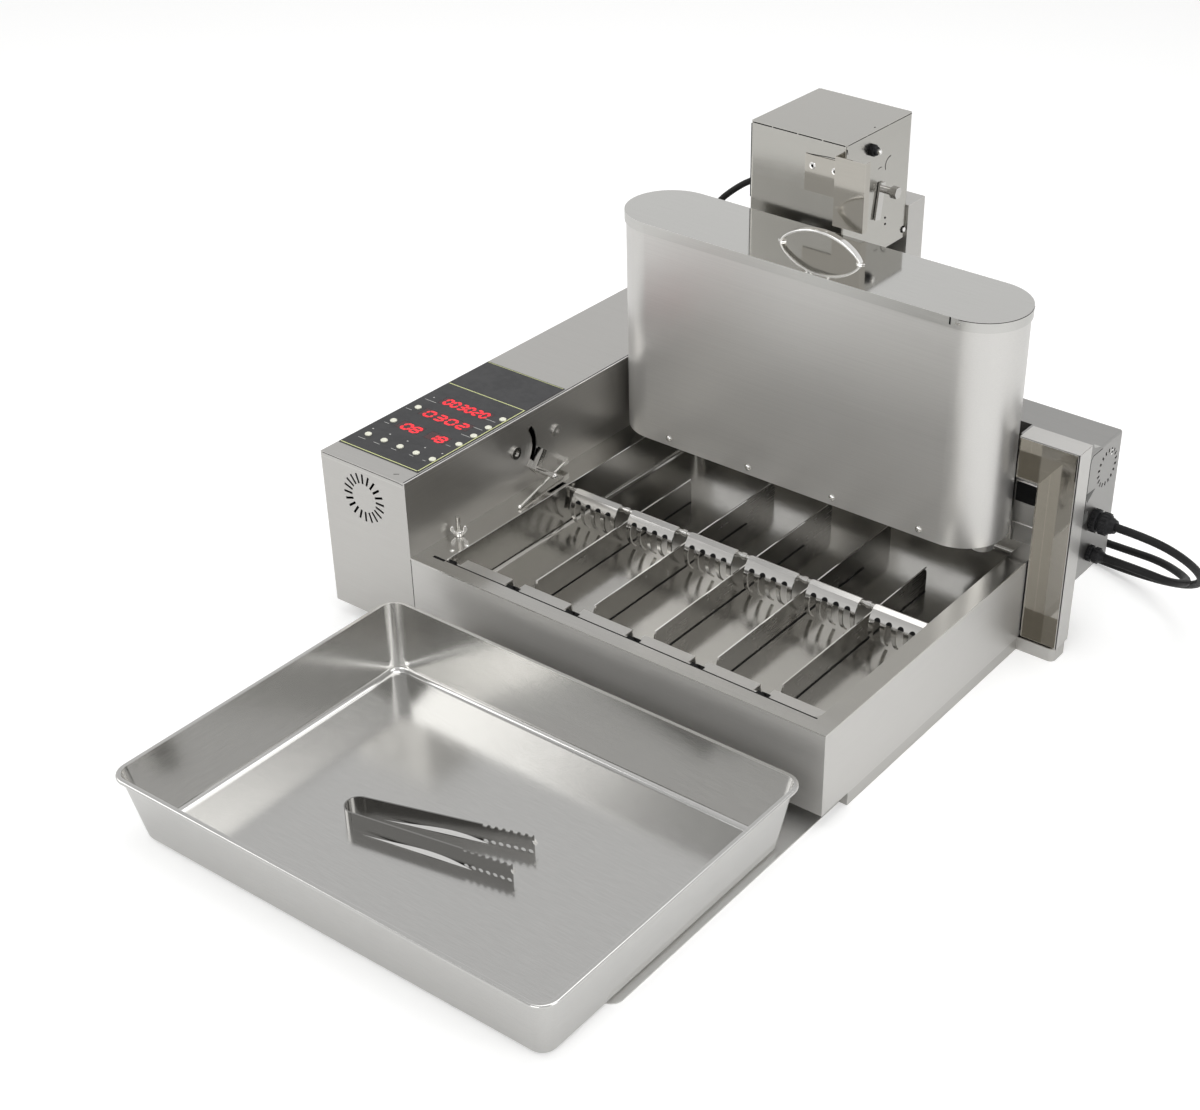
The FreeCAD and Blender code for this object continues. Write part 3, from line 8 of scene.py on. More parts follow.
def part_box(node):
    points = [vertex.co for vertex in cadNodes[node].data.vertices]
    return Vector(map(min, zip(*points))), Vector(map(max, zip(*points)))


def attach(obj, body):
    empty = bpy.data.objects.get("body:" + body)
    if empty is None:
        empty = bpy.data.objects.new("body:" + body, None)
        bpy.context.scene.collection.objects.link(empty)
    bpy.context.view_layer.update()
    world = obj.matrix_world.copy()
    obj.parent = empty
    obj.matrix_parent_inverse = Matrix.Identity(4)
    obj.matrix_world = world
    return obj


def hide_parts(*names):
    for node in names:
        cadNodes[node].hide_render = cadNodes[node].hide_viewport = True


# Looks of the automatic doughnut machine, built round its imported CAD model

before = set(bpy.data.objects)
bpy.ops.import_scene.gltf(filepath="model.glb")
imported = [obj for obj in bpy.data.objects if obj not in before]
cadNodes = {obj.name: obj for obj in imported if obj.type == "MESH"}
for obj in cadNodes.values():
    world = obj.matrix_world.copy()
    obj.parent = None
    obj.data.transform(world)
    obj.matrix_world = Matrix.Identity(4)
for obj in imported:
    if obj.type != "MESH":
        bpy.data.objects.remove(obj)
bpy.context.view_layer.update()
mm = 0.001
bodyHalfWidth = 355
originDepth = 300
toRight, toBack, toFront, toTop = (1, 0, 0), (0, 1, 0), (0, -1, 0), (0, 0, 1)
scene = bpy.context.scene
scene.view_settings.view_transform = "Standard"


# Places are in the drawing's millimetres, from the box's left face, its front and the bench
def spot(x, y, z):
    return ((x - bodyHalfWidth) * mm, (y - originDepth) * mm, z * mm)


def spots(rows):
    return (np.array(rows, float) - (bodyHalfWidth, originDepth, 0)) * mm


# Camera, from the vanishing points of the machine's long edges
view = {
    "place": (1587.72, -1421.51, 1367.48),
    "azimuth": 33.80,
    "elevation": 34.77,
    "roll": 1.73,
    "focalPixels": 2017.77,
    "centre": (768.21, 667.30),
    "picture": (1200, 1110),
    "sensor": 36,
    "farthest": 50,
}


def aimCamera():
    across, up = view["picture"]
    lens = bpy.data.cameras.new("photoView")
    lens.sensor_fit = "HORIZONTAL"
    lens.sensor_width = view["sensor"]
    lens.lens = view["focalPixels"] * view["sensor"] / across
    lens.shift_x = (across / 2 - view["centre"][0]) / across
    lens.shift_y = (view["centre"][1] - up / 2) / across
    lens.clip_end = view["farthest"]
    azimuth, elevation, roll = (math.radians(view[k]) for k in ("azimuth", "elevation", "roll"))
    ahead = Vector((-math.sin(azimuth) * math.cos(elevation),
                    math.cos(azimuth) * math.cos(elevation), -math.sin(elevation)))
    right = ahead.cross(Vector(toTop)).normalized()
    above = right.cross(ahead)
    rolled = right * math.cos(roll) + above * math.sin(roll)
    top = above * math.cos(roll) - right * math.sin(roll)
    camera = bpy.data.objects.new("photoView", lens)
    turn = Matrix((rolled, top, -ahead)).transposed().to_4x4()
    camera.matrix_world = Matrix.Translation(spot(*view["place"])) @ turn
    scene.collection.objects.link(camera)
    scene.camera = camera


aimCamera()
print("camera is aimed")


# Shader helpers
def addNode(tree, kind, values=None, **settings):
    made = tree.nodes.new(kind)
    for key, value in settings.items():
        setattr(made, key, value)
    for key, value in (values or {}).items():
        if isinstance(value, bpy.types.NodeSocket):
            tree.links.new(value, made.inputs[key])
        else:
            made.inputs[key].default_value = value
    return made


def arithmetic(tree, operation, first, second=0.0, third=None):
    values = {0: first, 1: second}
    if third is not None:
        values[2] = third
    return addNode(tree, "ShaderNodeMath", values, operation=operation).outputs[0]


def ranged(tree, value, low, high, toLow, toHigh):
    values = {0: value, 1: low, 2: high, 3: toLow, 4: toHigh}
    return addNode(tree, "ShaderNodeMapRange", values).outputs[0]


def blendColours(tree, factor, first, second):
    values = {0: factor, 6: first, 7: second}
    return addNode(tree, "ShaderNodeMix", values, data_type="RGBA").outputs[2]


def effectGroup(name, inputs, output):
    group = bpy.data.node_groups.new(name, "ShaderNodeTree")
    for label, value in inputs.items():
        socket = group.interface.new_socket(
            name=label, in_out="INPUT", socket_type="NodeSocketFloat")
        socket.default_value = value
    group.interface.new_socket(name=output, in_out="OUTPUT", socket_type="NodeSocketFloat")
    return group, group.nodes.new("NodeGroupInput"), group.nodes.new("NodeGroupOutput")


# What the three shared effects start from; the pairs are the ends of a blend
effects = {
    "grain": {"Stretch": 14.0, "Fineness": 1600.0},
    "grainTurns": (0.62, 0.78),
    "marks": {"Size": 9.0},
    "marksCloser": 5.3,
    "marksShow": (0.16, 0.34),
    "edge": {"Width": 0.0012},
    "edgeLean": (0.995, 0.86),
}


# Brushed grain: noise stretched level with the bench, along X on faces that look along Y or Z and
# along Y on faces that look along X, so that it runs round a curved shell without a break
def makeBrushedGrain():
    group, given, result = effectGroup("brushedGrain", effects["grain"], "Grain")
    where = addNode(group, "ShaderNodeTexCoord")
    facing = addNode(group, "ShaderNodeSeparateXYZ", {0: where.outputs["Normal"]})
    sideways = arithmetic(group, "ABSOLUTE", facing.outputs[0])
    share = ranged(group, sideways, *effects["grainTurns"], 0.0, 1.0)
    grains = []
    for along in range(2):
        scale = addNode(group, "ShaderNodeCombineXYZ", {
            i: given.outputs["Stretch" if i == along else "Fineness"] for i in range(3)})
        stretched = addNode(group, "ShaderNodeVectorMath", {
            0: where.outputs["Object"], 1: scale.outputs[0]}, operation="MULTIPLY")
        noise = addNode(group, "ShaderNodeTexNoise", {
            "Vector": stretched.outputs[0], "Scale": 1.0, "Detail": 2.0, "Roughness": 0.6})
        grains.append(noise.outputs[0])
    mixed = addNode(group, "ShaderNodeMix", {0: share, 2: grains[0], 3: grains[1]})
    group.links.new(mixed.outputs[0], result.inputs["Grain"])
    return group


# Handling marks: two sizes of soft noise multiplied, so that some parts stay clean
def makeHandling():
    group, given, result = effectGroup("handlingMarks", effects["marks"], "Marks")
    where = addNode(group, "ShaderNodeTexCoord").outputs["Object"]
    broad = addNode(group, "ShaderNodeTexNoise", {
        "Vector": where, "Scale": given.outputs["Size"], "Detail": 2.0, "Distortion": 0.6})
    closer = arithmetic(group, "MULTIPLY", given.outputs["Size"], effects["marksCloser"])
    patches = addNode(group, "ShaderNodeTexNoise", {
        "Vector": where, "Scale": closer, "Detail": 4.0, "Roughness": 0.65})
    product = arithmetic(group, "MULTIPLY", broad.outputs[0], patches.outputs[0])
    shown = ranged(group, product, *effects["marksShow"], 0.0, 1.0)
    group.links.new(shown, result.inputs["Marks"])
    return group


# Edge wear and painted highlight: how far the rounded normal leans from the true one near a corner,
# where the finishes pale the colour
def makeEdgeWearAndHighlight():
    group, given, result = effectGroup("edgeWearAndHighlight", effects["edge"], "Edge")
    rounded = addNode(group, "ShaderNodeBevel", {"Radius": given.outputs["Width"]}, samples=4)
    true = addNode(group, "ShaderNodeNewGeometry")
    lean = addNode(group, "ShaderNodeVectorMath", {
        0: rounded.outputs[0], 1: true.outputs["Normal"]}, operation="DOT_PRODUCT")
    wornAndHighlit = ranged(group, lean.outputs["Value"], *effects["edgeLean"], 0.0, 1.0)
    group.links.new(wornAndHighlit, result.inputs["Edge"])
    return group


brushedGrain = makeBrushedGrain()
handlingMarks = makeHandling()
edgeWearAndHighlight = makeEdgeWearAndHighlight()


def useGroup(tree, group, **values):
    placed = tree.nodes.new("ShaderNodeGroup")
    placed.node_tree = group
    for label, value in values.items():
        placed.inputs[label].default_value = value
    return placed.outputs[0]


def newFinish(name):
    made = bpy.data.materials.new(name)
    made.use_nodes = True
    return made, made.node_tree, made.node_tree.nodes["Principled BSDF"]


def toneOf(colour, factor, added=0.0):
    return tuple(min(1.0, c * factor + added) for c in colour) + (1.0,)


def addBump(tree, shader, height, strength, distance):
    bump = addNode(tree, "ShaderNodeBump", {
        "Height": height, "Strength": strength, "Distance": distance})
    tree.links.new(bump.outputs[0], shader.inputs["Normal"])


# How every steel varies: its tones, the span of the grain that shows, what the grain does to gloss
# and height, and where the gloss of level faces gives way to that of the sides
steelLook = {
    "pale": 1.03, "deep": 0.97, "wornAndHighlit": 1.6, "edgeWidth": 0.0012,
    "grainShows": (0.3, 0.7), "grainGloss": 0.012, "bump": 0.4, "levelFaces": (0.3, 0.8),
}


# Steel: a bare metal whose colour, gloss and bump follow the grain, the marks and the edges; its
# paler edges are wear and painted highlight
def steel(name, colour, dull, grainDepth=0.0, stretch=14.0, fineness=1600.0, marks=0.02, edge=0.35,
          markSize=9.0, veil=0.0, sides=None):
    made, tree, shader = newFinish(name)
    shader.inputs["Metallic"].default_value = 1.0 - veil
    grain = useGroup(tree, brushedGrain, Stretch=stretch, Fineness=fineness)
    handled = useGroup(tree, handlingMarks, Size=markSize)
    wornAndHighlit = useGroup(tree, edgeWearAndHighlight, Width=steelLook["edgeWidth"])
    shows = steelLook["grainShows"]
    toned = blendColours(tree, ranged(tree, grain, *shows, 0.0, 1.0),
                         toneOf(colour, steelLook["deep"]), toneOf(colour, steelLook["pale"]))
    # Paler colour at the edges: wear and a painted highlight where edges catch light
    edged = blendColours(tree, arithmetic(tree, "MULTIPLY", wornAndHighlit, edge), toned,
                         toneOf(colour, steelLook["wornAndHighlit"]))
    tree.links.new(edged, shader.inputs["Base Color"])
    streaks = ranged(tree, grain, *shows, -1.0, 1.0)
    rough = arithmetic(tree, "MULTIPLY_ADD", streaks, steelLook["grainGloss"], dull)
    rough = arithmetic(tree, "MULTIPLY_ADD", handled, marks, rough)
    if sides is not None:
        facing = addNode(tree, "ShaderNodeTexCoord").outputs["Normal"]
        upright = addNode(tree, "ShaderNodeSeparateXYZ", {"Vector": facing}).outputs["Z"]
        level = arithmetic(tree, "ABSOLUTE", upright)
        added = ranged(tree, level, *steelLook["levelFaces"], sides - dull, 0.0)
        rough = arithmetic(tree, "ADD", rough, added)
    tree.links.new(rough, shader.inputs["Roughness"])
    if grainDepth:
        addBump(tree, shader, grain, steelLook["bump"], grainDepth)
    return made


mouldedLook = {
    "pale": 1.5, "paleAdded": 0.02, "deep": 0.8, "edgeWidth": 0.0008,
    "speckleShows": (0.35, 0.65), "markSize": 22.0, "markGloss": 0.12, "bump": 0.5,
}


# Plastic, rubber, ink or paint: one colour with fine speckle in tone and height, pale edges of wear
# and painted highlight
def moulded(name, colour, dull, speckle=900.0, depth=0.00012, edge=0.3, reflecting=0.5):
    made, tree, shader = newFinish(name)
    shader.inputs["Specular IOR Level"].default_value = reflecting
    where = addNode(tree, "ShaderNodeTexCoord")
    noise = addNode(tree, "ShaderNodeTexNoise", {
        "Vector": where.outputs["Object"], "Scale": speckle, "Detail": 3.0}).outputs[0]
    handled = useGroup(tree, handlingMarks, Size=mouldedLook["markSize"])
    wornAndHighlit = useGroup(tree, edgeWearAndHighlight, Width=mouldedLook["edgeWidth"])
    toned = blendColours(tree, ranged(tree, noise, *mouldedLook["speckleShows"], 0.0, 1.0),
                         toneOf(colour, mouldedLook["deep"]), toneOf(colour, 1.0))
    # Paler colour at the edges: wear and a painted highlight where edges catch light
    edged = blendColours(tree, arithmetic(tree, "MULTIPLY", wornAndHighlit, edge), toned,
                         toneOf(colour, mouldedLook["pale"], mouldedLook["paleAdded"]))
    tree.links.new(edged, shader.inputs["Base Color"])
    rough = arithmetic(tree, "MULTIPLY_ADD", handled, mouldedLook["markGloss"], dull)
    tree.links.new(rough, shader.inputs["Roughness"])
    addBump(tree, shader, noise, mouldedLook["bump"], depth)
    return made


finishes = {
    "sheet": steel("brushedSheet", (0.54, 0.53, 0.51), dull=0.34, grainDepth=0.00001),
    "satin": steel("satinTower", (0.48, 0.47, 0.44), dull=0.19),
    "casing": steel("casingSheet", (0.60, 0.59, 0.57), dull=0.36, veil=0.3),
    "heater": steel("heaterSheet", (0.38, 0.375, 0.365), dull=0.36),
    "mirror": steel("mirrorPlate", (0.46, 0.44, 0.40), dull=0.07),
    "shell": steel("hopperShell", (0.68, 0.67, 0.65), dull=0.35, stretch=5.0, veil=0.2),
    "lid": steel("lidSteel", (0.60, 0.595, 0.575), dull=0.06, sides=0.30),
    "polished": steel("polishedSteel", (0.56, 0.55, 0.53), dull=0.14, marks=0.04, fineness=900.0),
    "basin": steel("basinSteel", (0.52, 0.51, 0.485), dull=0.15, marks=0.05, markSize=14.0),
    # The dividers' darker steel is painted shade on their faces, a darkened copy of the basin steel
    "divider": steel("dividerSteel", (0.33, 0.32, 0.30), dull=0.22, marks=0.05, fineness=900.0,
                     edge=0.8),
    "pressed": steel("pressedPan", (0.60, 0.595, 0.58), dull=0.16, stretch=40.0, fineness=700.0),
    # The shelf's paler steel is painted light, a lightened copy of the sheet steel
    "shelf": steel("shelfSheet", (0.74, 0.735, 0.72), dull=0.45),
    "rod": steel("turnedRod", (0.58, 0.57, 0.55), dull=0.16, stretch=900.0, fineness=400.0,
                 marks=0.05),
    "dark": steel("darkPolish", (0.30, 0.295, 0.285), dull=0.10, marks=0.05),
    # Bright steel for fasteners, and for the bright lines of painted highlight on edges
    "bright": steel("brightFastenerAndHighlight", (0.84, 0.83, 0.81), dull=0.10, marks=0.03),
    "film": moulded("panelFilm", (0.022, 0.022, 0.024), dull=0.35, speckle=2500.0, depth=0.00002,
                    edge=0.1),
    "plastic": moulded("blackPlastic", (0.005, 0.005, 0.006), dull=0.36, edge=0.15,
                       reflecting=0.25),
    "rubber": moulded("blackRubber", (0.006, 0.006, 0.006), dull=0.5, speckle=1400.0, edge=0.1,
                      reflecting=0.25),
    "key": moulded("paleKey", (0.90, 0.90, 0.76), dull=0.35, edge=0.15),
    "window": moulded("displayWindow", (0.045, 0.008, 0.010), dull=0.22, speckle=600.0,
                      depth=0.00001),
    "lime": moulded("limeInk", (0.74, 0.78, 0.36), dull=0.5, depth=0.00001),
    "inkPale": moulded("paleInk", (0.55, 0.55, 0.53), dull=0.5, depth=0.00001),
    # Near-black for seams and joints, and for the dark pieces of painted shade in gaps and openings
    "gap": moulded("darkSeamAndShade", (0.004, 0.004, 0.004), dull=0.8, edge=0.0, reflecting=0.25),
    # Grey for the patches of painted shade on the electrical box
    "grey": moulded("greyPaintedShade", (0.11, 0.11, 0.105), dull=0.45),
    "glow": moulded("redNumeral", (0.50, 0.01, 0.015), dull=0.4, depth=0.00001),
}
numeralGlow = {"Emission Color": (1.0, 0.02, 0.04, 1.0), "Emission Strength": 0.8}
for label, value in numeralGlow.items():
    finishes["glow"].node_tree.nodes["Principled BSDF"].inputs[label].default_value = value
print("finishes are mixed:", len(finishes))


# Lights, floor and a white surround that metal mirrors as well.
# A lamp is its place, what it is aimed at, its size and its power
studio = {
    "floorSize": 30.0,
    "floorColour": (0.86, 0.86, 0.855, 1.0),
    "floorDull": 0.9,
    "floorLift": 0.32,
    "mirrorLift": 0.10,
    "surroundLight": 0.55,
    "mirroredHeights": (-0.1, 1.0),
    "mirroredLight": (1.0, 0.55),
    "lamps": {
        "overhead": ((0.3, 0.4, 2.9), (0.0, 0.0, 0.1), (2.4, 2.4), 32.0),
        "leftSoft": ((-2.4, -1.4, 2.1), (0.0, 0.0, 0.2), (1.6, 1.6), 17.0),
        "frontSoft": ((0.7, -3.3, 1.5), (0.0, -0.1, 0.1), (1.8, 1.0), 20.0),
        "rightSoft": ((2.6, -0.4, 1.6), (0.0, 0.1, 0.2), (1.2, 1.8), 14.0),
    },
}


def buildSurround():
    world = bpy.data.worlds.new("whiteSurround")
    scene.world = world
    world.use_nodes = True
    tree = world.node_tree
    tree.nodes.clear()
    rays = addNode(tree, "ShaderNodeLightPath").outputs
    seen = arithmetic(tree, "MAXIMUM", rays["Is Camera Ray"], rays["Is Transmission Ray"])
    where = addNode(tree, "ShaderNodeTexCoord")
    height = addNode(tree, "ShaderNodeSeparateXYZ", {0: where.outputs["Generated"]}).outputs[2]
    mirrored = ranged(tree, height, *studio["mirroredHeights"], *studio["mirroredLight"])
    lit = addNode(tree, "ShaderNodeMix", {
        0: rays["Is Glossy Ray"], 2: studio["surroundLight"], 3: mirrored}).outputs[0]
    strength = addNode(tree, "ShaderNodeMix", {0: seen, 2: lit, 3: 1.0}).outputs[0]
    glow = addNode(tree, "ShaderNodeBackground", {
        "Color": (1.0, 1.0, 1.0, 1.0), "Strength": strength})
    surface = addNode(tree, "ShaderNodeOutputWorld")
    tree.links.new(glow.outputs[0], surface.inputs[0])


def buildFloor():
    half = studio["floorSize"] / 2
    corners = [(-half, -half, 0), (half, -half, 0), (half, half, 0), (-half, half, 0)]
    mesh = bpy.data.meshes.new("floor")
    mesh.from_pydata(corners, [], [(0, 1, 2, 3)])
    floor = bpy.data.objects.new("floor", mesh)
    scene.collection.objects.link(floor)
    paint, tree, shader = newFinish("paleFloor")
    shader.inputs["Base Color"].default_value = studio["floorColour"]
    shader.inputs["Roughness"].default_value = studio["floorDull"]
    rays = addNode(tree, "ShaderNodeLightPath").outputs
    mirrored = arithmetic(tree, "MULTIPLY", rays["Is Glossy Ray"], studio["mirrorLift"])
    lift = arithmetic(tree, "MULTIPLY_ADD", rays["Is Camera Ray"], studio["floorLift"], mirrored)
    tree.links.new(lift, shader.inputs["Emission Strength"])
    shader.inputs["Emission Color"].default_value = (1.0, 1.0, 1.0, 1.0)
    mesh.materials.append(paint)


def hangLamps():
    for name, (place, target, size, power) in studio["lamps"].items():
        lamp = bpy.data.lights.new(name, "AREA")
        lamp.shape = "RECTANGLE"
        lamp.size, lamp.size_y = size
        lamp.energy = power
        stand = bpy.data.objects.new(name, lamp)
        aim = (Vector(target) - Vector(place)).to_track_quat("-Z", "Y")
        stand.matrix_world = Matrix.Translation(place) @ aim.to_matrix().to_4x4()
        scene.collection.objects.link(stand)


buildSurround()
buildFloor()
hangLamps()
print("studio is lit")


# Shapes: a piece is built of solids, and a solid is its points and its faces.
# Faces between the lines of a grid whose columns close round, with a cap over each end
def gridSolid(points):
    rows, columns = points.shape[:2]
    i = np.arange(rows - 1)[:, None] * columns
    j = np.arange(columns)[None, :]
    beside = (j + 1) % columns
    quads = np.stack([i + j, i + beside, i + columns + beside, i + columns + j], -1).reshape(-1, 4)
    caps = [np.arange(columns)[::-1], np.arange(columns) + (rows - 1) * columns]
    faces = quads.tolist() + [ring.tolist() for ring in caps]
    fans = [np.stack([np.full(columns - 2, ring[0]), ring[1:-1], ring[2:]], -1) for ring in caps]
    triangles = np.concatenate([quads[:, (0, 1, 2)], quads[:, (0, 2, 3)], *fans])
    points = points.reshape(-1, 3)
    a, b, c = (points[triangles[:, k]] - points.mean(0) for k in range(3))
    if np.einsum("ij,ij->i", a, np.cross(b, c)).sum() < 0:
        faces = [face[::-1] for face in faces]
    return points, faces


# Two directions across a third one, the first of them level
def acrossOf(axis):
    axis = np.array(axis, float) / np.linalg.norm(axis)
    level = np.cross(toTop, axis) if abs(axis[2]) < 0.99 else np.array(toRight, float)
    level = level / np.linalg.norm(level)
    return axis, level, np.cross(axis, level)


# A profile of (distance along the axis, radius) turned round the axis:
# place + axis * along + radius * (level * cos + upright * sin)
def turned(profile, place, axis=toTop, around=24):
    axis, level, upright = acrossOf(axis)
    along, radius = np.array(profile, float).T
    angle = np.arange(around) / around * math.tau
    ring = np.cos(angle)[:, None] * level + np.sin(angle)[:, None] * upright
    centres = np.array(place, float) + along[:, None, None] * axis
    return gridSolid(centres + radius[:, None, None] * ring)


# An outline of (sideways, upwards) carried along a path: path + side * sideways + top * upwards,
# where the side is level and square to the path, and grow scales the outline from point to point
def carried(outline, path, up=toTop, grow=None):
    path = np.array(path, float)
    ahead = np.gradient(path, axis=0)
    ahead = ahead / np.linalg.norm(ahead, axis=1)[:, None]
    side = np.cross(ahead, np.array(up, float))
    side = side / np.linalg.norm(side, axis=1)[:, None]
    top = np.cross(side, ahead)
    outline = np.array(outline, float)
    size = np.ones(len(path)) if grow is None else np.array(grow, float)
    return gridSolid(path[:, None, :] + size[:, None, None] * (
        outline[None, :, :1] * side[:, None, :] + outline[None, :, 1:] * top[:, None, :]))


# A flat outline, place + right * across + above * up, drawn out along right x above
def slab(outline, place, right, above, thick):
    right, above = np.array(right, float), np.array(above, float)
    flat = np.array(outline, float)
    base = np.array(place, float) + flat[:, :1] * right + flat[:, 1:] * above
    return gridSolid(np.stack([base, base + np.cross(right, above) * thick]))


# A box between its lowest and its highest corner
def block(low, high):
    (x, y, z), (a, b, c) = low, high
    return slab([(0, 0), (a - x, 0), (a - x, b - y), (0, b - y)], low, toRight, toBack, c - z)


# A circle: radius * (cos, sin)
def circle(radius, count):
    angle = np.arange(count) / count * math.tau
    return np.stack([radius * np.cos(angle), radius * np.sin(angle)], -1)


# A rounded rectangle: a quarter circle about each corner's own centre
def roundedOutline(width, height, radius, steps=4):
    angle = (np.arange(4)[:, None] + np.arange(steps + 1)[None, :] / steps) * math.tau / 4
    signs = np.array([(1, 1), (-1, 1), (-1, -1), (1, -1)])
    corner = signs * (width / 2 - radius, height / 2 - radius)
    arc = np.stack([np.cos(angle), np.sin(angle)], -1)
    return (corner[:, None, :] + radius * arc).reshape(-1, 2)


softEdge = {"sharpFrom": 35.0, "bevelFrom": 40.0, "steps": 2}


# A piece: its solids joined in one mesh, in the drawing's millimetres, each with its own finish
def makePiece(name, solids, finish, body="frame", bevel=0.0, replaces=()):
    points, faces, which, names = [], [], [], []
    first = 0
    for solid in solids:
        where, grid, own = solid if len(solid) == 3 else (*solid, finish)
        if own not in names:
            names.append(own)
        points.append(where)
        faces += [[k + first for k in face] for face in grid]
        which += [names.index(own)] * len(grid)
        first += len(where)
    mesh = bpy.data.meshes.new(name)
    mesh.from_pydata(spots(np.concatenate(points)).tolist(), [], faces)
    for own in names:
        mesh.materials.append(finishes[own])
    mesh.polygons.foreach_set("material_index", which)
    mesh.shade_smooth()
    mesh.set_sharp_from_angle(angle=math.radians(softEdge["sharpFrom"]))
    piece = bpy.data.objects.new(name, mesh)
    scene.collection.objects.link(piece)
    if bevel:
        wornAndHighlit = piece.modifiers.new("softEdges", "BEVEL")
        wornAndHighlit.width = bevel * mm
        wornAndHighlit.segments = softEdge["steps"]
        wornAndHighlit.limit_method = "ANGLE"
        wornAndHighlit.angle_limit = math.radians(softEdge["bevelFrom"])
        wornAndHighlit.harden_normals = True
    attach(piece, body)
    if replaces:
        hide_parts(*replaces)
    return piece


# A domed screw head on a washer: a profile in shares of its radius, turned round its axis
def domeScrew(place, axis, radius):
    rise = 0.55 * radius
    profile = [(-0.4, radius * 1.25), (0.25, radius * 1.25), (0.3, radius),
               (rise * 0.55, radius * 0.86), (rise * 0.85, radius * 0.55), (rise, radius * 0.2)]
    return (*turned(profile, place, axis, 20), "bright")


# A thin line of dark sealant or of a groove, or in the bright finish a painted highlight along an
# edge: a low trapezium carried along a path
def seamLine(path, up, width, rise=0.18, finish="gap"):
    half, sunk = width / 2, -0.05
    outline = [(-half, sunk), (half, sunk), (half * 0.7, rise), (-half * 0.7, rise)]
    return (*carried(outline, path, up), finish)


# Lines on one face, whose level is the place of the face along the axis square to it. A row is a
# width and the points in the face's own plane, and a rise and a finish where they differ
def faceLines(rows, up, level):
    axis = int(np.abs(up).argmax())
    return [seamLine(np.insert(np.array(points, float), axis, level, 1), up, width, *rest)
            for width, points, *rest in rows]


# Cords: routes as in the part's source, each followed by the turns of its coil as more points of
# one line. Each leaves the coil at an angle, and drops towards its plug by a share of its length
cords = {
    "diameter": 10.0,
    "length": 1.7,
    "wall": 760.0,
    "coil": {"centre": (598.0, 612.0), "outer": 55.0, "inner": 35.0, "turns": 4, "perTurn": 16,
             "tail": 33.5, "inPlug": 20.0, "start": 90.0},
    "upper": {
        "run": [(791, 488, 171), (835, 488, 171), (871, 507, 150), (883, 551, 106),
                (861, 594, 63.3), (809, 630, 30.3), (744, 652, 13.3), (690, 667, 5.3),
                (631.5, 667, 5.3)],
        "floor": 5.0, "leave": 110.0, "plug": 15.2, "drop": 0.0, "collar": 13.6,
    },
    "lower": {
        "run": [(781.7, 488, 126), (830, 488, 126), (860, 509, 110), (864, 555, 88),
                (842, 600, 66.3), (796, 634, 54.3), (740, 655, 40.3), (692, 667, 32.3),
                (631.5, 667, 32.3)],
        "floor": 27.3, "leave": 140.0, "plug": 33.0, "drop": 0.3, "collar": 9.4,
    },
    "tower": {
        "diameter": 8.0, "length": 0.281,
        "run": [(251.5, 560, 438), (227, 560, 438), (206, 560, 427), (186, 560, 412),
                (165, 560, 393), (147, 560, 365), (134, 560, 331), (124, 560, 295), (116, 560, 258),
                (116, 560, 222.3)],
    },
}


# One NURBS line led by a list of control points, as thick as the cord
def cordLine(name, points, diameter):
    data = bpy.data.curves.new(name, "CURVE")
    data.dimensions = "3D"
    data.bevel_depth = diameter * mm / 2
    data.bevel_resolution = 5
    data.resolution_u = 8
    data.use_fill_caps = True
    line = data.splines.new("NURBS")
    line.points.add(len(points) - 1)
    line.points.foreach_set("co", np.c_[points, np.ones(len(points))].ravel())
    line.order_u = 3
    line.use_endpoint_u = True
    data.materials.append(finishes["rubber"])
    piece = bpy.data.objects.new(name, data)
    scene.collection.objects.link(piece)
    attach(piece, "frame")
    return piece


# Coil: the radius runs from the outer turn in to the inner one and out again, and the line
# climbs by one diameter half way; the last points run straight out to the plug
def coilTurns(given):
    coil = cords["coil"]
    middle = coil["turns"] / 2
    last = coil["turns"] + (given["leave"] - coil["start"]) / 360
    turn = np.append(np.arange(1, last * coil["perTurn"]) / coil["perTurn"], last)
    spread = (coil["outer"] - coil["inner"]) / middle
    radius = coil["inner"] + spread * np.minimum(np.abs(turn - middle), middle)
    radius = radius / math.cos(math.pi / coil["perTurn"])
    climb = np.clip(turn - middle + 0.5, 0, 1)
    height = given["floor"] + cords["diameter"] * climb * climb * (3 - 2 * climb)
    angle = np.radians(coil["start"] + 360 * turn)
    x, y = coil["centre"]
    ring = np.stack([x + radius * np.cos(angle), y + radius * np.sin(angle), height], -1)
    a = math.radians(given["leave"])
    start = np.array((x + coil["outer"] * math.cos(a), y + coil["outer"] * math.sin(a), 0))
    ahead = np.array((-math.sin(a), math.cos(a), 0))
    tail = start + ahead * coil["tail"] + (0, 0, given["plug"])
    ahead = ahead - (0, 0, given["drop"])
    return np.concatenate([ring, [tail, tail + coil["inPlug"] * ahead]]), tail, ahead


# Strain relief: its profile in shares of its length and of the collar's radius, then the knurls
relief = {
    "along": (0, 0.04, 0.25, 0.28, 0.29, 0.35, 0.36, 0.4, 0.66, 0.72, 0.78, 0.84, 0.9, 0.95, 0.99),
    "reach": (0.94, 1, 1, 0.94, 0.8, 0.8, 0.9, 0.97, 0.97, 0.88, 0.74, 0.72, 0.64, 0.62, 0.58),
    "knurls": 16, "knurl": 0.9, "bands": [(0.03, 0.26, 1.0), (0.40, 0.68, 0.96)],
}


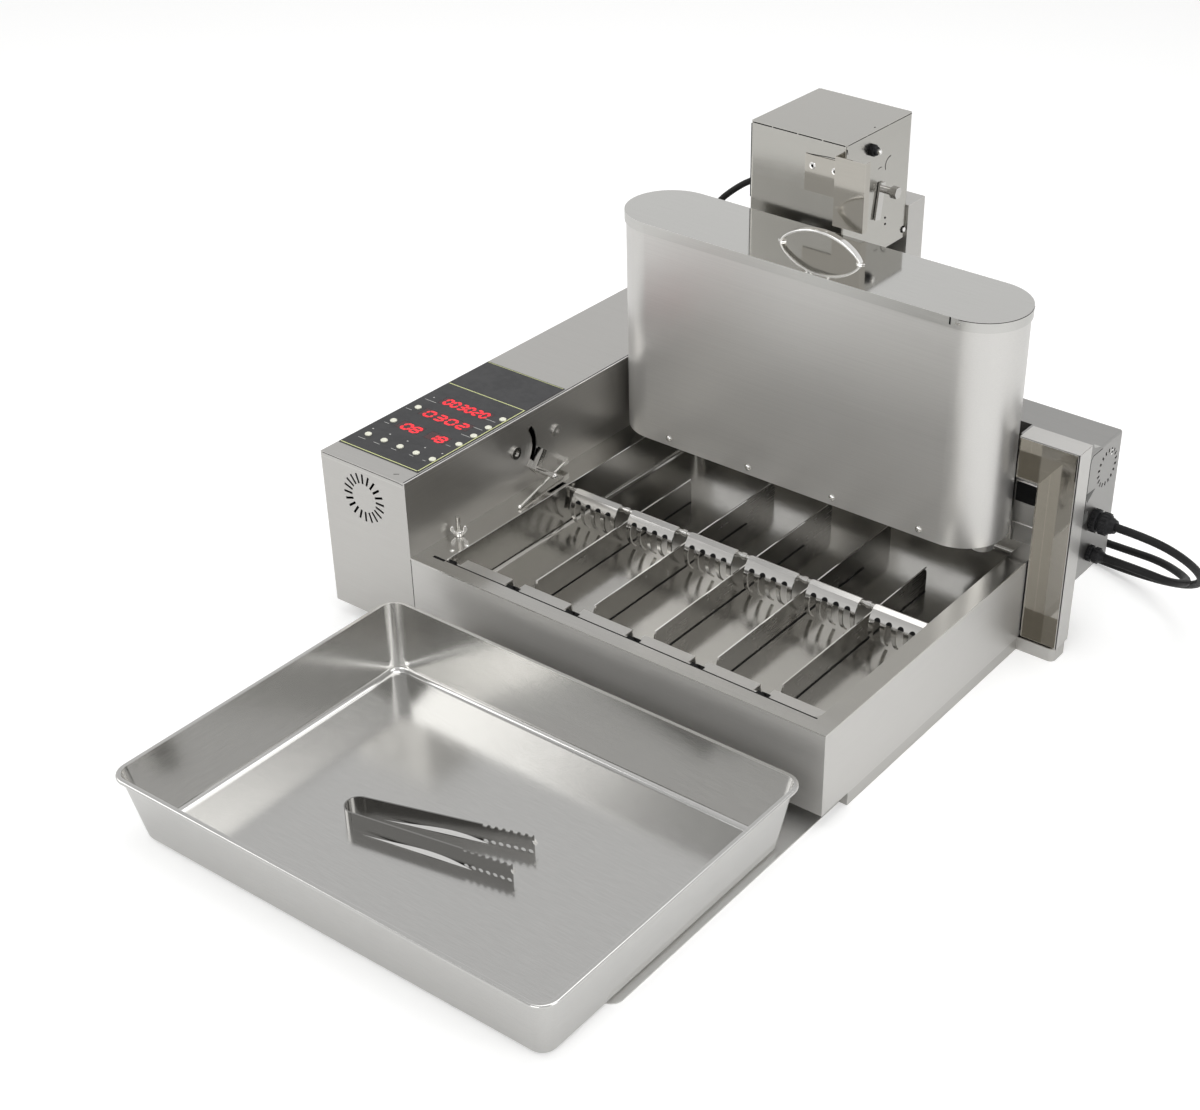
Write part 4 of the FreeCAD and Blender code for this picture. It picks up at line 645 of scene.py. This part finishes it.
# A knurled collar and a ribbed sleeve that narrows towards the cord, turned round the cord's
# axis, with thin rods evenly round it as knurls
def reliefSolids(start, collar, length):
    x, y, z = start
    profile = [(-1.0, collar * 0.8)]
    profile += list(zip(np.array(relief["along"]) * length, np.array(relief["reach"]) * collar))
    profile.append((length, cords["diameter"] / 2 + 0.4))
    solids = [turned(profile, start, toRight, 40)]
    for i in range(relief["knurls"]):
        a = i / relief["knurls"] * math.tau
        for first, last, share in relief["bands"]:
            reach = share * collar
            place = (x, y + reach * math.cos(a), z + reach * math.sin(a))
            rod = [(first * length, relief["knurl"]), (last * length, relief["knurl"])]
            solids.append(turned(rod, place, toRight, 6))
    return solids


# Plug: the tail's length and radii, its ribs, and the profiles of the grip, the face and a pin
plug = {
    "tail": 18, "tailRadii": (5.6, 8.4), "rib": 0.5, "ribTurn": 1.6, "neck": 5.2,
    "grip": [(20, 10.2), (26, 12.2), (42, 13.6), (52, 14.6), (56, 14.9), (59, 14.9), (60, 14.2)],
    "face": [(58, 11.0), (60.4, 11.0), (60.6, 10.6)],
    "pin": [(59, 2.35), (76, 2.35), (78, 1.9), (79, 0.9)], "pinOffset": 9.5,
}


# A ribbed tail, whose radius is a slope plus a small cosine, a grip with a shoulder and two round
# pins, all turned round the plug's axis
def plugSolids(tail, ahead):
    ahead = np.array(ahead) / np.linalg.norm(ahead)
    aside = np.cross(ahead, toTop)
    aside = aside / np.linalg.norm(aside)
    along = np.linspace(0, plug["tail"], plug["tail"] + 1)
    ribbed = np.interp(along, (0, plug["tail"]), plug["tailRadii"])
    ribbed = ribbed + plug["rib"] * np.cos(along * plug["ribTurn"])
    profile = [(0, plug["neck"]), *zip(along, ribbed), *plug["grip"]]
    solids = [turned(profile, tail, ahead, 32)]
    for side in (-plug["pinOffset"], plug["pinOffset"]):
        solids.append((*turned(plug["pin"], tail + aside * side, ahead, 16), "rod"))
    solids.append((*turned(plug["face"], tail, ahead, 32), "plastic"))
    return solids


for side in ("upper", "lower"):
    given = cords[side]
    turns, tail, ahead = coilTurns(given)
    piece = cordLine(side + "Cord", spots(np.concatenate([given["run"], turns])), cords["diameter"])
    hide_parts("cord_" + side, "coil_" + side)
    leave = given["run"][0]
    x, y, z = leave
    collar = reliefSolids((cords["wall"], y, z), given["collar"], x - cords["wall"])
    makePiece(side + "Relief", collar, "plastic", replaces=["gland_" + side])
    end = makePiece(side + "Plug", plugSolids(tail, ahead), "rubber", replaces=["plug_" + side])
given = cords["tower"]
piece = cordLine("towerCable", spots(given["run"]), given["diameter"])
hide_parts("tower_cable")
print("cords are laid and plugged")

# Control panel: pale lines on the film, seven-bar numerals on the windows, marks and small lamps.
# A row is its place, the spans of its windows and the figures that each shows
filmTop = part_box("control_film")[1][2] / mm
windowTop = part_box("display_module")[1][2] / mm
panel = {
    "left": 2.2, "right": 124.3, "front": 30.4, "divider": 218.0, "back": 291.8,
    "line": 1.3, "backLine": 0.8, "mark": 0.7, "sunk": 0.02, "ink": 0.06,
    "rows": [(103.0, [(33, 61, "08"), (73, 101, "18")]), (143.0, [(31, 100, "0302")]),
             (179.5, [(31, 100, "003020")])],
    "digit": (11.0, 13.0), "digitGap": 4, "bar": 3.5, "barGap": 0.25, "barThick": 0.12,
    "slant": 0.10,
    "marks": [(17, 50.5, 11), (39.8, 51.5, 10), (65.7, 52.7, 8), (92, 54, 6.5), (112.5, 54, 5),
              (14.2, 95.5, 7.5), (10.6, 137.5, 9.5), (17, 169, 18), (110, 97.5, 7), (110, 128, 14),
              (110, 150, 14), (108, 174.5, 15)],
    "lamps": [(11.7, 75), (37.2, 77), (65.2, 77), (92.3, 77.5), (118, 79), (14.3, 178)],
    "lamp": [(0, 1.1), (0.15, 1.0), (0.3, 0.5)],
    "bars": {"0": "abcdef", "1": "bc", "2": "abged", "3": "abgcd", "8": "abcdefg"},
}


# A numeral is up to seven bars, named as in any such display from a at the back to d at the front,
# with g in the middle; each is a long hexagon, sheared sideways by a share of its height
def numeralBars(figure, x, y, width):
    height = panel["digit"][1]
    half, b = height / 2, panel["bar"] / 2
    places = {
        "a": (0, half, 0), "g": (0, 0, 0), "d": (0, -half, 0),
        "f": (-width / 2, half / 2, 1), "b": (width / 2, half / 2, 1),
        "e": (-width / 2, -half / 2, 1), "c": (width / 2, -half / 2, 1),
    }
    solids = []
    for key in panel["bars"][figure]:
        across, back, standing = places[key]
        length = (half if standing else width) / 2 - panel["barGap"]
        flat = np.array([(-length, 0), (-length + b, -b), (length - b, -b), (length, 0),
                         (length - b, b), (-length + b, b)])
        if standing:
            flat = flat[:, ::-1] * (1, -1)
        flat = flat + (across, back)
        flat[:, 0] += flat[:, 1] * panel["slant"]
        place = (x, y, windowTop - panel["sunk"])
        solids.append(slab(flat, place, toRight, toBack, panel["barThick"]))
    return solids


# Each row's figures stand at even distances across their window
def numeralSolids():
    solids = []
    for y, windows in panel["rows"]:
        for left, right, figures in windows:
            pitch = (right - left) / len(figures)
            width = min(panel["digit"][0], pitch - panel["digitGap"])
            for i, figure in enumerate(figures):
                solids += numeralBars(figure, left + (i + 0.5) * pitch, y, width)
    return solids


# Lines and marks are low blocks on the film, and a lamp is a small dome turned round its axis
def panelSolids():
    left, right, front, divider, back, wide = (
        panel[k] for k in ("left", "right", "front", "divider", "back", "line"))
    low, high = filmTop - panel["sunk"], filmTop + panel["ink"]
    lines = [((left, front), (right, front + wide)), ((right - wide, front), (right, divider)),
             ((left, divider), (right, divider + wide)),
             ((left, back - panel["backLine"]), (right, back))]
    solids = [(*block((*a, low), (*b, high)), "lime") for a, b in lines]
    for x, y, length in panel["marks"]:
        half, thin = length / 2, panel["mark"] / 2
        mark = block((x - half, y - thin, low), (x + half, y + thin, high))
        solids.append((*mark, "inkPale"))
    dome = [(low, panel["lamp"][0][1]), *((high + up, radius) for up, radius in panel["lamp"][1:])]
    for x, y in panel["lamps"]:
        solids.append((*turned(dome, (x, y, 0), toTop, 12), "inkPale"))
    return solids


makePiece("panelNumerals", numeralSolids(), "glow")
makePiece("panelLines", panelSolids(), "lime")
print("panel is printed")


# Tank: bright lines of painted highlight, dark joints, dark prisms of painted shade between the
# lifting plates, dark sleeves of painted shade on their rod, and rivets
tank = {
    "top": 124.0, "floor": 69.0,
    "topLines": [(2.0, [(169, 20.3), (686, 20.3)]),
                 # the bright line along the basin's left edge is a painted highlight
                 (1.5, [(167.2, 23.4), (167.2, 511)], 0.5, "bright")],
    "joint": [(0.9, [(131.5, 20), (131.5, 122)])],
    # dark bars at the left end of the front flange: painted shade in the gap there
    "endGapShades": [((150, 17.8, 123.9), (167, 21.2, 124.25)),
              ((167.6, 19.7, 119.4), (179.5, 26.4, 123.6))],
    # dark prisms between the lifting plates and dark sleeves on their rod: painted shade in the
    # gaps
    "gapShades": [263.0, 350.2, 437.4, 524.6, 611.8], "gapShadePlace": (19.7, 112.0), "gapShadeTall": 11.8,
    "clip": [(-6, 0.2), (5.5, 0.2), (5, 3.6), (2.2, 4.0), (5.4, 6.7), (0, 5.6), (-4.8, 6.7),
             (-5, 3)],
    "sleeve": [(-5.2, 4.8), (5.2, 4.8)], "rodShadePlace": (32.5, 112.5),
    "rivets": [(158.5, 41.5), (165.0, 60.0)], "rivet": 2.6,
}
# Bright lines on the divider tops are painted highlights, and the dark lines beside their feet
# painted shadows
lane = {"first": 256.49, "pitch": 87.192, "dividers": 5, "top": 102.0, "near": 75.0, "far": 377.0,
        "topHighlight": 1.9, "topHighlightRise": 0.45, "shadow": 1.7, "shadowAside": 1.6, "shadowNear": 89.0}


# Lines along the edges, the floor and the dividers at one height each, and the dark prisms of
# painted shade in the gaps as upright prisms
def tankSolids():
    solids = faceLines(tank["topLines"], toTop, tank["top"] + 0.03)
    solids += faceLines(tank["joint"], toFront, -0.03)
    solids += [block(*corners) for corners in tank["endGapShades"]]
    for x in tank["gapShades"]:
        place = (x, *tank["gapShadePlace"])
        solids.append(slab(tank["clip"], place, toRight, toBack, tank["gapShadeTall"]))
    for i in range(lane["dividers"]):
        x = lane["first"] + i * lane["pitch"]
        topHighlight = (lane["topHighlight"], [(x, lane["near"]), (x, lane["far"])], lane["topHighlightRise"], "bright")
        x += lane["shadowAside"]
        shadow = (lane["shadow"], [(x, lane["shadowNear"]), (x, lane["far"])])
        solids += faceLines([topHighlight], toTop, lane["top"])
        solids += faceLines([shadow], toTop, tank["floor"] + 0.03)
    return solids


makePiece("tankFittings", tankSolids(), "gap")
# Dark sleeves of painted shade on the lifting rod in each gap
rodShades = [turned(tank["sleeve"], (x, *tank["rodShadePlace"]), toRight) for x in tank["gapShades"]]
makePiece("lifterRodShades", rodShades, "gap", "lift_plates")
rivets = [domeScrew((x, y, tank["top"]), toTop, tank["rivet"]) for x, y in tank["rivets"]]
makePiece("tankRivets", rivets, "bright")

nut = {"place": (142.0, 72.0, 124.0), "hub": 4.9, "hubTop": 3.9, "height": 6.4, "reach": 10.0,
       "rise": 13.5, "thick": 3.0, "turn": 41.0}


# Wing nut: a coned hub turned round its axis, and two wings, each a flat leaf that leans outwards
# as it rises, drawn out to its thickness
def nutSolids():
    place = np.array(nut["place"])
    hub = [(0.05, nut["hub"]), (2, nut["hub"]), (nut["height"], nut["hubTop"])]
    solids = [turned(hub, place, toTop, 28)]
    a = math.radians(nut["turn"])
    across = np.array((math.cos(a), math.sin(a), 0))
    reach, rise = nut["reach"], nut["rise"]
    leaf = np.array([(2.2, 1.2), (5.2, 1.6), (8.0, 4.2), (reach, 7.8), (reach + 0.2, 10.4),
                     (reach - 1.4, rise - 0.4), (reach - 3.6, rise), (reach - 4.6, rise - 2.6),
                     (5.0, 6.6), (2.2, 5.4)])
    base = place - np.cross(across, toTop) * nut["thick"] / 2
    solids += [slab(leaf * (side, 1), base, across, toTop, nut["thick"]) for side in (-1, 1)]
    return solids


makePiece("wingNut", nutSolids(), "bright", "nut", bevel=0.7, replaces=["wing_nut"])

# Control box: a bright line of painted highlight and a dark line along the cover's right edge, a
# nick in it, and a line across its front
box = {
    "top": 222.3,
    # the bright line on the cover's right edge is a painted highlight
    "topLines": [(1.7, [(130.5, 1), (130.5, 599)], 0.3, "bright"),
                 (1.8, [(128.9, 2), (128.9, 599)]), (0.8, [(106, 10), (111, 14)])],
    "frontLines": [(0.8, [(3, 221.1), (60, 221.1), (122, 220.7), (129, 219.9)])],
}
boxLines = faceLines(box["topLines"], toTop, box["top"] + 0.02)
boxLines += faceLines(box["frontLines"], toFront, -0.02)
makePiece("boxSeams", boxLines, "gap")

comb = {"count": 6, "slots": 4, "slotPitch": 15.5, "centre": (264.0, 97.0), "radius": 31.1,
        "angle": 158.5, "notch": (4.0, 4.6), "sunk": 0.6, "thick": 0.25, "points": 15}


# Combs: a dark half round of painted shade above each slot between the fingers, standing for the
# opening's dark arched top, (wide * cos, tall * sin), laid on the curved sheet's outer face at an
# angle round the comb's centre
def notchSolids():
    a = math.radians(comb["angle"])
    out = np.array((0, math.cos(a), math.sin(a)))
    above = np.array((0, math.sin(a), -math.cos(a)))
    turn = np.linspace(0, math.pi, comb["points"])
    wide, tall = comb["notch"]
    outline = np.stack([wide * np.cos(turn), tall * np.sin(turn) - comb["sunk"]], -1)
    solids = []
    for i in range(comb["count"]):
        middle = lane["first"] + (i - 0.5) * lane["pitch"]
        for j in range(comb["slots"]):
            x = middle + (j - (comb["slots"] - 1) / 2) * comb["slotPitch"]
            place = np.array((x, *comb["centre"])) + out * comb["radius"]
            solids.append(slab(outline, place, toRight, above, comb["thick"]))
    return solids


# Dark half rounds of painted shade at the tops of the comb's slots
makePiece("combNotches", notchSolids(), "gap", "flipper")

# Tongs: a strip of painted highlight is its piece, its body, its side, and where it starts and ends
# along the arm
tongs = {
    "start": (309.9, -282.3), "turn": 14.0, "open": 3.2, "bow": 14.0, "length": 194.0,
    "strip": 1.5, "floor": 3.0,
    "highlights": [("tongsHighlight", "tongs", 1, 0.12, 0.74),
             ("tongsSwingHighlight", "tongs_swing", -1, 0.08, 0.76)],
    "deep": 5.0, "least": 0.15, "lean": (0.7, 0.714), "highlightThick": 0.4, "points": 25,
    "nose": 3.3, "noseHeight": 13.0, "noseLean": (0.6, 0.8), "noseThick": 0.8,
}


# Each arm has a bright strip of painted highlight along its foot, deep * sin(pi * share ** 1.5),
# and a bright round disc of painted highlight at its nose
def armSolids(side, first, last):
    x, y = tongs["start"]
    heading = math.radians(tongs["turn"])
    angle = heading + side * math.radians(tongs["open"])
    ahead = np.array((math.cos(angle), math.sin(angle), 0))
    aside = np.array((-math.sin(angle), math.cos(angle), 0))
    bow = side * tongs["bow"]
    root = np.array((x - bow * math.sin(heading), y + bow * math.cos(heading), tongs["floor"]))
    share = np.linspace(0, 1, tongs["points"])
    along = (first + (last - first) * share) * tongs["length"]
    deep = tongs["deep"] * np.sin(np.pi * share ** 1.5) + tongs["least"]
    outline = np.concatenate([np.stack([along, 0 * along], -1), np.stack([along, deep], -1)[::-1]])
    outward, upward = tongs["lean"]
    place = root - aside * (tongs["strip"] / 2 + outward * tongs["deep"]) + (0, 0, 0.2)
    solids = [slab(outline, place, ahead, outward * aside + (0, 0, upward), tongs["highlightThick"])]
    tip = root + ahead * (tongs["length"] + 0.4) + (0, 0, tongs["noseHeight"])
    back, upward = tongs["noseLean"]
    solids.append(slab(circle(tongs["nose"], 20), tip, aside, (0, 0, upward) - back * ahead,
                       tongs["noseThick"]))
    return solids


# Bright strips along the arms' feet and bright discs at their noses are painted highlights
for name, body, side, first, last in tongs["highlights"]:
    makePiece(name, armSolids(side, first, last), "bright", body, bevel=0.15)
print("tank is fitted out")


# Hopper: dome screws along its foot, at the front and at the back
hopper = {"right": 676.0, "middle": 429.8, "radius": 56.9, "screw": 3.6, "screwHeight": 152.0,
          "screws": [225.6, 347.0, 471.0, 593.0]}
hopperScrews = []
for facing in (toFront, toBack):
    y = hopper["middle"] + facing[1] * hopper["radius"]
    hopperScrews += [domeScrew((x, y, hopper["screwHeight"]), facing, hopper["screw"])
                     for x in hopper["screws"]]
makePiece("hopperScrews", hopperScrews, "bright")

# Lid: a mark is its finish, its left and right, how far it stands out, and how far below the top
lid = {
    "top": 430.0, "over": 2.0, "sweep": (-86.0, 24.0), "points": 28, "line": 0.42, "lineBelow": 0.7,
    "marks": [("gap", (612.0, 614.2), 0.12, (9.0, 0.1)),
              ("bright", (619.5, 626.0), 0.08, (7.5, 4.0))],
}


# A dark line round the lid's right end, a circle of its radius, and the marks as low blocks
def lidSolids():
    middle, radius, top = hopper["middle"], hopper["radius"] + lid["over"], lid["top"]
    centre = hopper["right"] - hopper["radius"]
    angle = np.radians(np.linspace(*lid["sweep"], lid["points"]))
    reach = radius + 0.02
    rim = np.stack([centre + reach * np.cos(angle), middle + reach * np.sin(angle),
                    np.full(lid["points"], top - lid["lineBelow"])], -1)
    solids = [carried(circle(lid["line"], 8), rim)]
    for finish, (left, right), proud, (low, high) in lid["marks"]:
        corner = (left, middle - radius - proud, top - low)
        solids.append((*block(corner, (right, middle - radius + 0.3, top - high)), finish))
    return solids


handle = {
    "middle": 404.5, "half": 55.0, "rise": 24.5, "clear": 1.3, "points": 41,
    "strap": (10.5, 3.2, 1.3), "narrow": 0.72,
    "foot": [(0, -4.2), (5.0, -3.4), (9.5, 0), (5.0, 3.4), (0, 4.2), (-2.5, 0)],
    "footIn": 4, "footThick": 1.6,
}


# A strap handle: a rounded strap carried along a bow, rise * (1 - share ** 2) ** 0.75, and
# widest in its middle, between two pointed feet
def handleSolids():
    middle, half, y, top = handle["middle"], handle["half"], hopper["middle"], lid["top"]
    share = np.linspace(-1, 1, handle["points"])
    height = handle["rise"] * (1 - share ** 2) ** 0.75
    bow = np.stack([middle + half * share, np.full(handle["points"], y),
                    top + handle["clear"] + height], -1)
    wide = handle["narrow"] + (1 - handle["narrow"]) * (1 - share ** 4)
    solids = [carried(roundedOutline(*handle["strap"]), bow, toTop, wide)]
    for side in (-1, 1):
        place = (middle + side * (half - handle["footIn"]), y, top)
        foot = np.array(handle["foot"]) * (side, 1)
        solids.append(slab(foot, place, toRight, toBack, handle["footThick"]))
    return solids


makePiece("lidFittings", lidSolids(), "gap", "lid")
makePiece("strapHandle", handleSolids(), "bright", "lid", bevel=0.4, replaces=["lid_handle"])
print("hopper is fitted out")


# Tower: its front has four seams, a dark corner line of painted shadow down its left corner and a
# crease, its right side three seams, a tear, a hooked line and a nick; places on the front are
# (sideways, height), on the side (depth, height)
tower = {
    "right": 387.0, "front": 503.0, "top": 532.5,
    "frontLines": [
        (1.5, [(254.5, 531), (281.5, 531)]), (1.5, [(283, 531), (317.5, 531)]),
        (1.5, [(319.5, 531), (352.5, 531)]), (1.5, [(354.5, 531), (385, 531)]),
        # a dark line down the left corner: painted shadow
        (1.2, [(252.3, 529.5), (252.3, 438)]),
        (1.0, [(331.3, 510.5), (345, 511.6), (360, 512.8), (378, 513.4)])],
    "sideLines": [
        (1.0, [(506, 531.1), (547, 531.1)]), (1.0, [(549, 531.1), (595, 531.1)]),
        (1.0, [(597, 531.1), (648, 531.1)]), (1.4, [(505, 526.5), (506.4, 520.5)]),
        (1.5, [(604.5, 491), (599, 490), (594.5, 486.5), (592.6, 481), (593.6, 476.5)]),
        (0.9, [(585, 482.3), (581, 483), (577, 481.8)])],
    "bolts": [(341.7, 498.1), (373.0, 498.1)],
    "bolt": {"gap": [(-0.3, 5.3), (0.5, 5.3)], "bright": [(0.1, 4.6), (1.6, 4.4), (2.0, 3.6)]},
    "socket": [(1.6, 2.1), (2.2, 1.9)],
    "rivets": [(599.3, 413.5), (600.3, 405.0)], "rivet": [(-0.2, 1.5), (0.5, 1.4), (0.9, 0.7)],
    "screw": (643.6, 384.0), "washer": [(-0.2, 4.6), (0.5, 4.6)],
    "hexagon": [(-0.4, 3.4), (2.08, 3.4), (2.6, 2.924)],
    "dot": (380, 575), "dotShape": [(-0.1, 1.0), (0.25, 0.9)],
}


# Straight and bent lines carried over the faces, and fasteners turned round axes square to them
def towerSolids():
    right, front = tower["right"], tower["front"]
    solids = faceLines(tower["frontLines"], toFront, front - 0.02)
    solids += faceLines(tower["sideLines"], toRight, right + 0.02)
    for x, z in tower["bolts"]:
        for finish, profile in tower["bolt"].items():
            solids.append((*turned(profile, (x, front, z), toFront), finish))
        solids.append(turned(tower["socket"], (x, front, z), toFront, 12))
    solids += [turned(tower["rivet"], (right, y, z), toRight, 14) for y, z in tower["rivets"]]
    screw = (right, *tower["screw"])
    solids.append((*turned(tower["hexagon"], screw, toRight, 6), "bright"))
    solids.append(turned(tower["washer"], screw, toRight, 20))
    solids.append(turned(tower["dotShape"], (*tower["dot"], tower["top"]), toTop, 10))
    return solids


makePiece("towerFittings", towerSolids(), "gap")

knob = {
    "place": (387.0, 559.5, 511.0), "radius": 7.2, "length": 9.0,
    "flutes": 18, "flute": 0.6, "fluteReach": 0.93, "stem": [(-2, 3.1), (3.4, 3.1), (4.2, 2.2)],
}


# Stroke knob: a black skirt with thin rods round it as knurls, and a bright stem, all turned
# round the knob's axis
def knobSolids():
    place, radius, length = (knob[k] for k in ("place", "radius", "length"))
    skirt = [(0.3, radius * 0.9), (1.0, radius * 0.94), (length * 0.55, radius * 0.94),
             (length * 0.6, radius * 0.8), (length - 1, radius * 0.74), (length, radius * 0.6)]
    solids = [turned(skirt, place, toRight, 36)]
    reach = knob["fluteReach"] * radius
    for i in range(knob["flutes"]):
        a = i / knob["flutes"] * math.tau
        where = np.array(place) + (0, reach * math.cos(a), reach * math.sin(a))
        rod = [(0.8, knob["flute"]), (length * 0.54, knob["flute"])]
        solids.append(turned(rod, where, toRight, 6))
    stem = [(length + along, reach) for along, reach in knob["stem"]]
    solids.append((*turned(stem, place, toRight, 20), "bright"))
    return solids


makePiece("strokeKnob", knobSolids(), "plastic", "knob", replaces=["stroke_knob"])
print("tower is fitted out")


# Electrical box and rear plate: a patch is its outline and its (depth, height) on the side, a slit
# or a skin of the plate is its two corners, and the window's edges are two heights
heater = {
    "side": 760.0, "top": 267.0,
    "seam": [(0.9, [(462.5, 190), (462.5, 256), (463.7, 261), (467.5, 264), (490.5, 264)])],
    # the patches are painted shade: a triangular shadow and two small recesses
    "patches": [([(0, 0), (22, -1.2), (4, -13)], (462.0, 216.0)),
                (roundedOutline(11, 14, 1.2), (467.0, 183.5)),
                (roundedOutline(12, 15, 0.8), (445.0, 171.5))],
    "patchThick": 0.15,
    "screw": (517.0, 248.4), "head": [(-0.2, 3.4), (0.6, 3.4), (0.6, 2.2)],
    "socket": [(0.5, 1.9), (0.9, 1.7)],
    "mark": [(0, 0), (9, 0), (4, -7)], "markPlace": (750, 488),
    # the window's edges carry bright beads of painted highlight
    "window": ((671, 461, 178), (708.4, 467.9, 204.4)), "windowEdges": (206.0, 150.3),
    "edge": 1.1, "edgeRun": [(671, 0), (690, 0.2), (708.4, 0)], "edgeDepth": 460.2,
    "windowScrew": (678, 460.5, 222.5), "windowScrewSize": 3.2,
    "slits": [((757.0, 429.6, 247), (758.6, 431.2, 276)),
              ((710.1, 429.7, 26), (711.9, 431.4, 122))],
    "skins": [((684.2, 429.7, 279.4), (760.3, 431.3, 281.02)),
              ((758.6, 429.7, 17.6), (760.3, 431.3, 281.02)),
              ((759.5, 429.7, 17.6), (760.3, 460.4, 281.02)),
              ((684.2, 429.7, 280.5), (760.3, 460.4, 281.3))],
}


# Seams and edges carried along lines, patches and blocks drawn out, fasteners turned
def heaterSolids():
    side = heater["side"]
    solids = faceLines(heater["seam"], toRight, side + 0.02)
    # Grey patches of painted shade: a triangular shadow and two small recesses
    for outline, where in heater["patches"]:
        patch = slab(outline, (side + 0.03, *where), toBack, toTop, heater["patchThick"])
        solids.append((*patch, "grey"))
    screw = (side, *heater["screw"])
    solids.append((*turned(heater["head"], screw, toRight, 18), "bright"))
    solids.append(turned(heater["socket"], screw, toRight, 6))
    place = (*heater["markPlace"], heater["top"] + 0.02)
    mark = slab(heater["mark"], place, toRight, toBack, heater["patchThick"])
    solids.append((*mark, "inkPale"))
    solids.append(block(*heater["window"]))
    # Bright beads of painted highlight along the window's upper and lower edges
    for z in heater["windowEdges"]:
        run = [(x, heater["edgeDepth"], z + rise) for x, rise in heater["edgeRun"]]
        solids.append((*carried(circle(heater["edge"], 10), run), "bright"))
    solids.append(domeScrew(heater["windowScrew"], toFront, heater["windowScrewSize"]))
    solids += [block(*corners) for corners in heater["slits"]]
    solids += [(*block(*corners), "casing") for corners in heater["skins"]]
    return solids


makePiece("heaterFittings", heaterSolids(), "gap")
print("electrical box is fitted out")


# Finishes of the CAD nodes, by the first words of their names; the others are brushed sheet
nodeFinishes = {
    "control_film": "film",
    "display": "window",
    "button": "key",
    "fan": "plastic",
    "cord": "rubber", "tower_cable": "rubber",
    "gland": "plastic", "plug": "plastic", "coil": "rubber",
    "frying_tank": "basin", "lane_divider": "divider", "wing_nut": "bright",
    "drive_rocker": "polished", "flipper": "polished", "temperature": "bright",
    "tank_casing": "casing", "pan_shelf": "shelf",
    "catch_pan": "pressed", "tongs": "dark",
    "batter_hopper": "shell", "hopper_lid": "lid", "lid_handle": "bright",
    "tower_housing": "satin", "tower_channel": "mirror", "output": "polished",
    "rear_plate": "mirror", "electrical_box": "heater",
}
for name, piece in cadNodes.items():
    finish = next((f for start, f in nodeFinishes.items() if name.startswith(start)), "sheet")
    for slot in piece.material_slots:
        slot.material = finishes[finish]
    if not piece.material_slots:
        piece.data.materials.append(finishes[finish])
print("nodes are finished:", len(cadNodes))
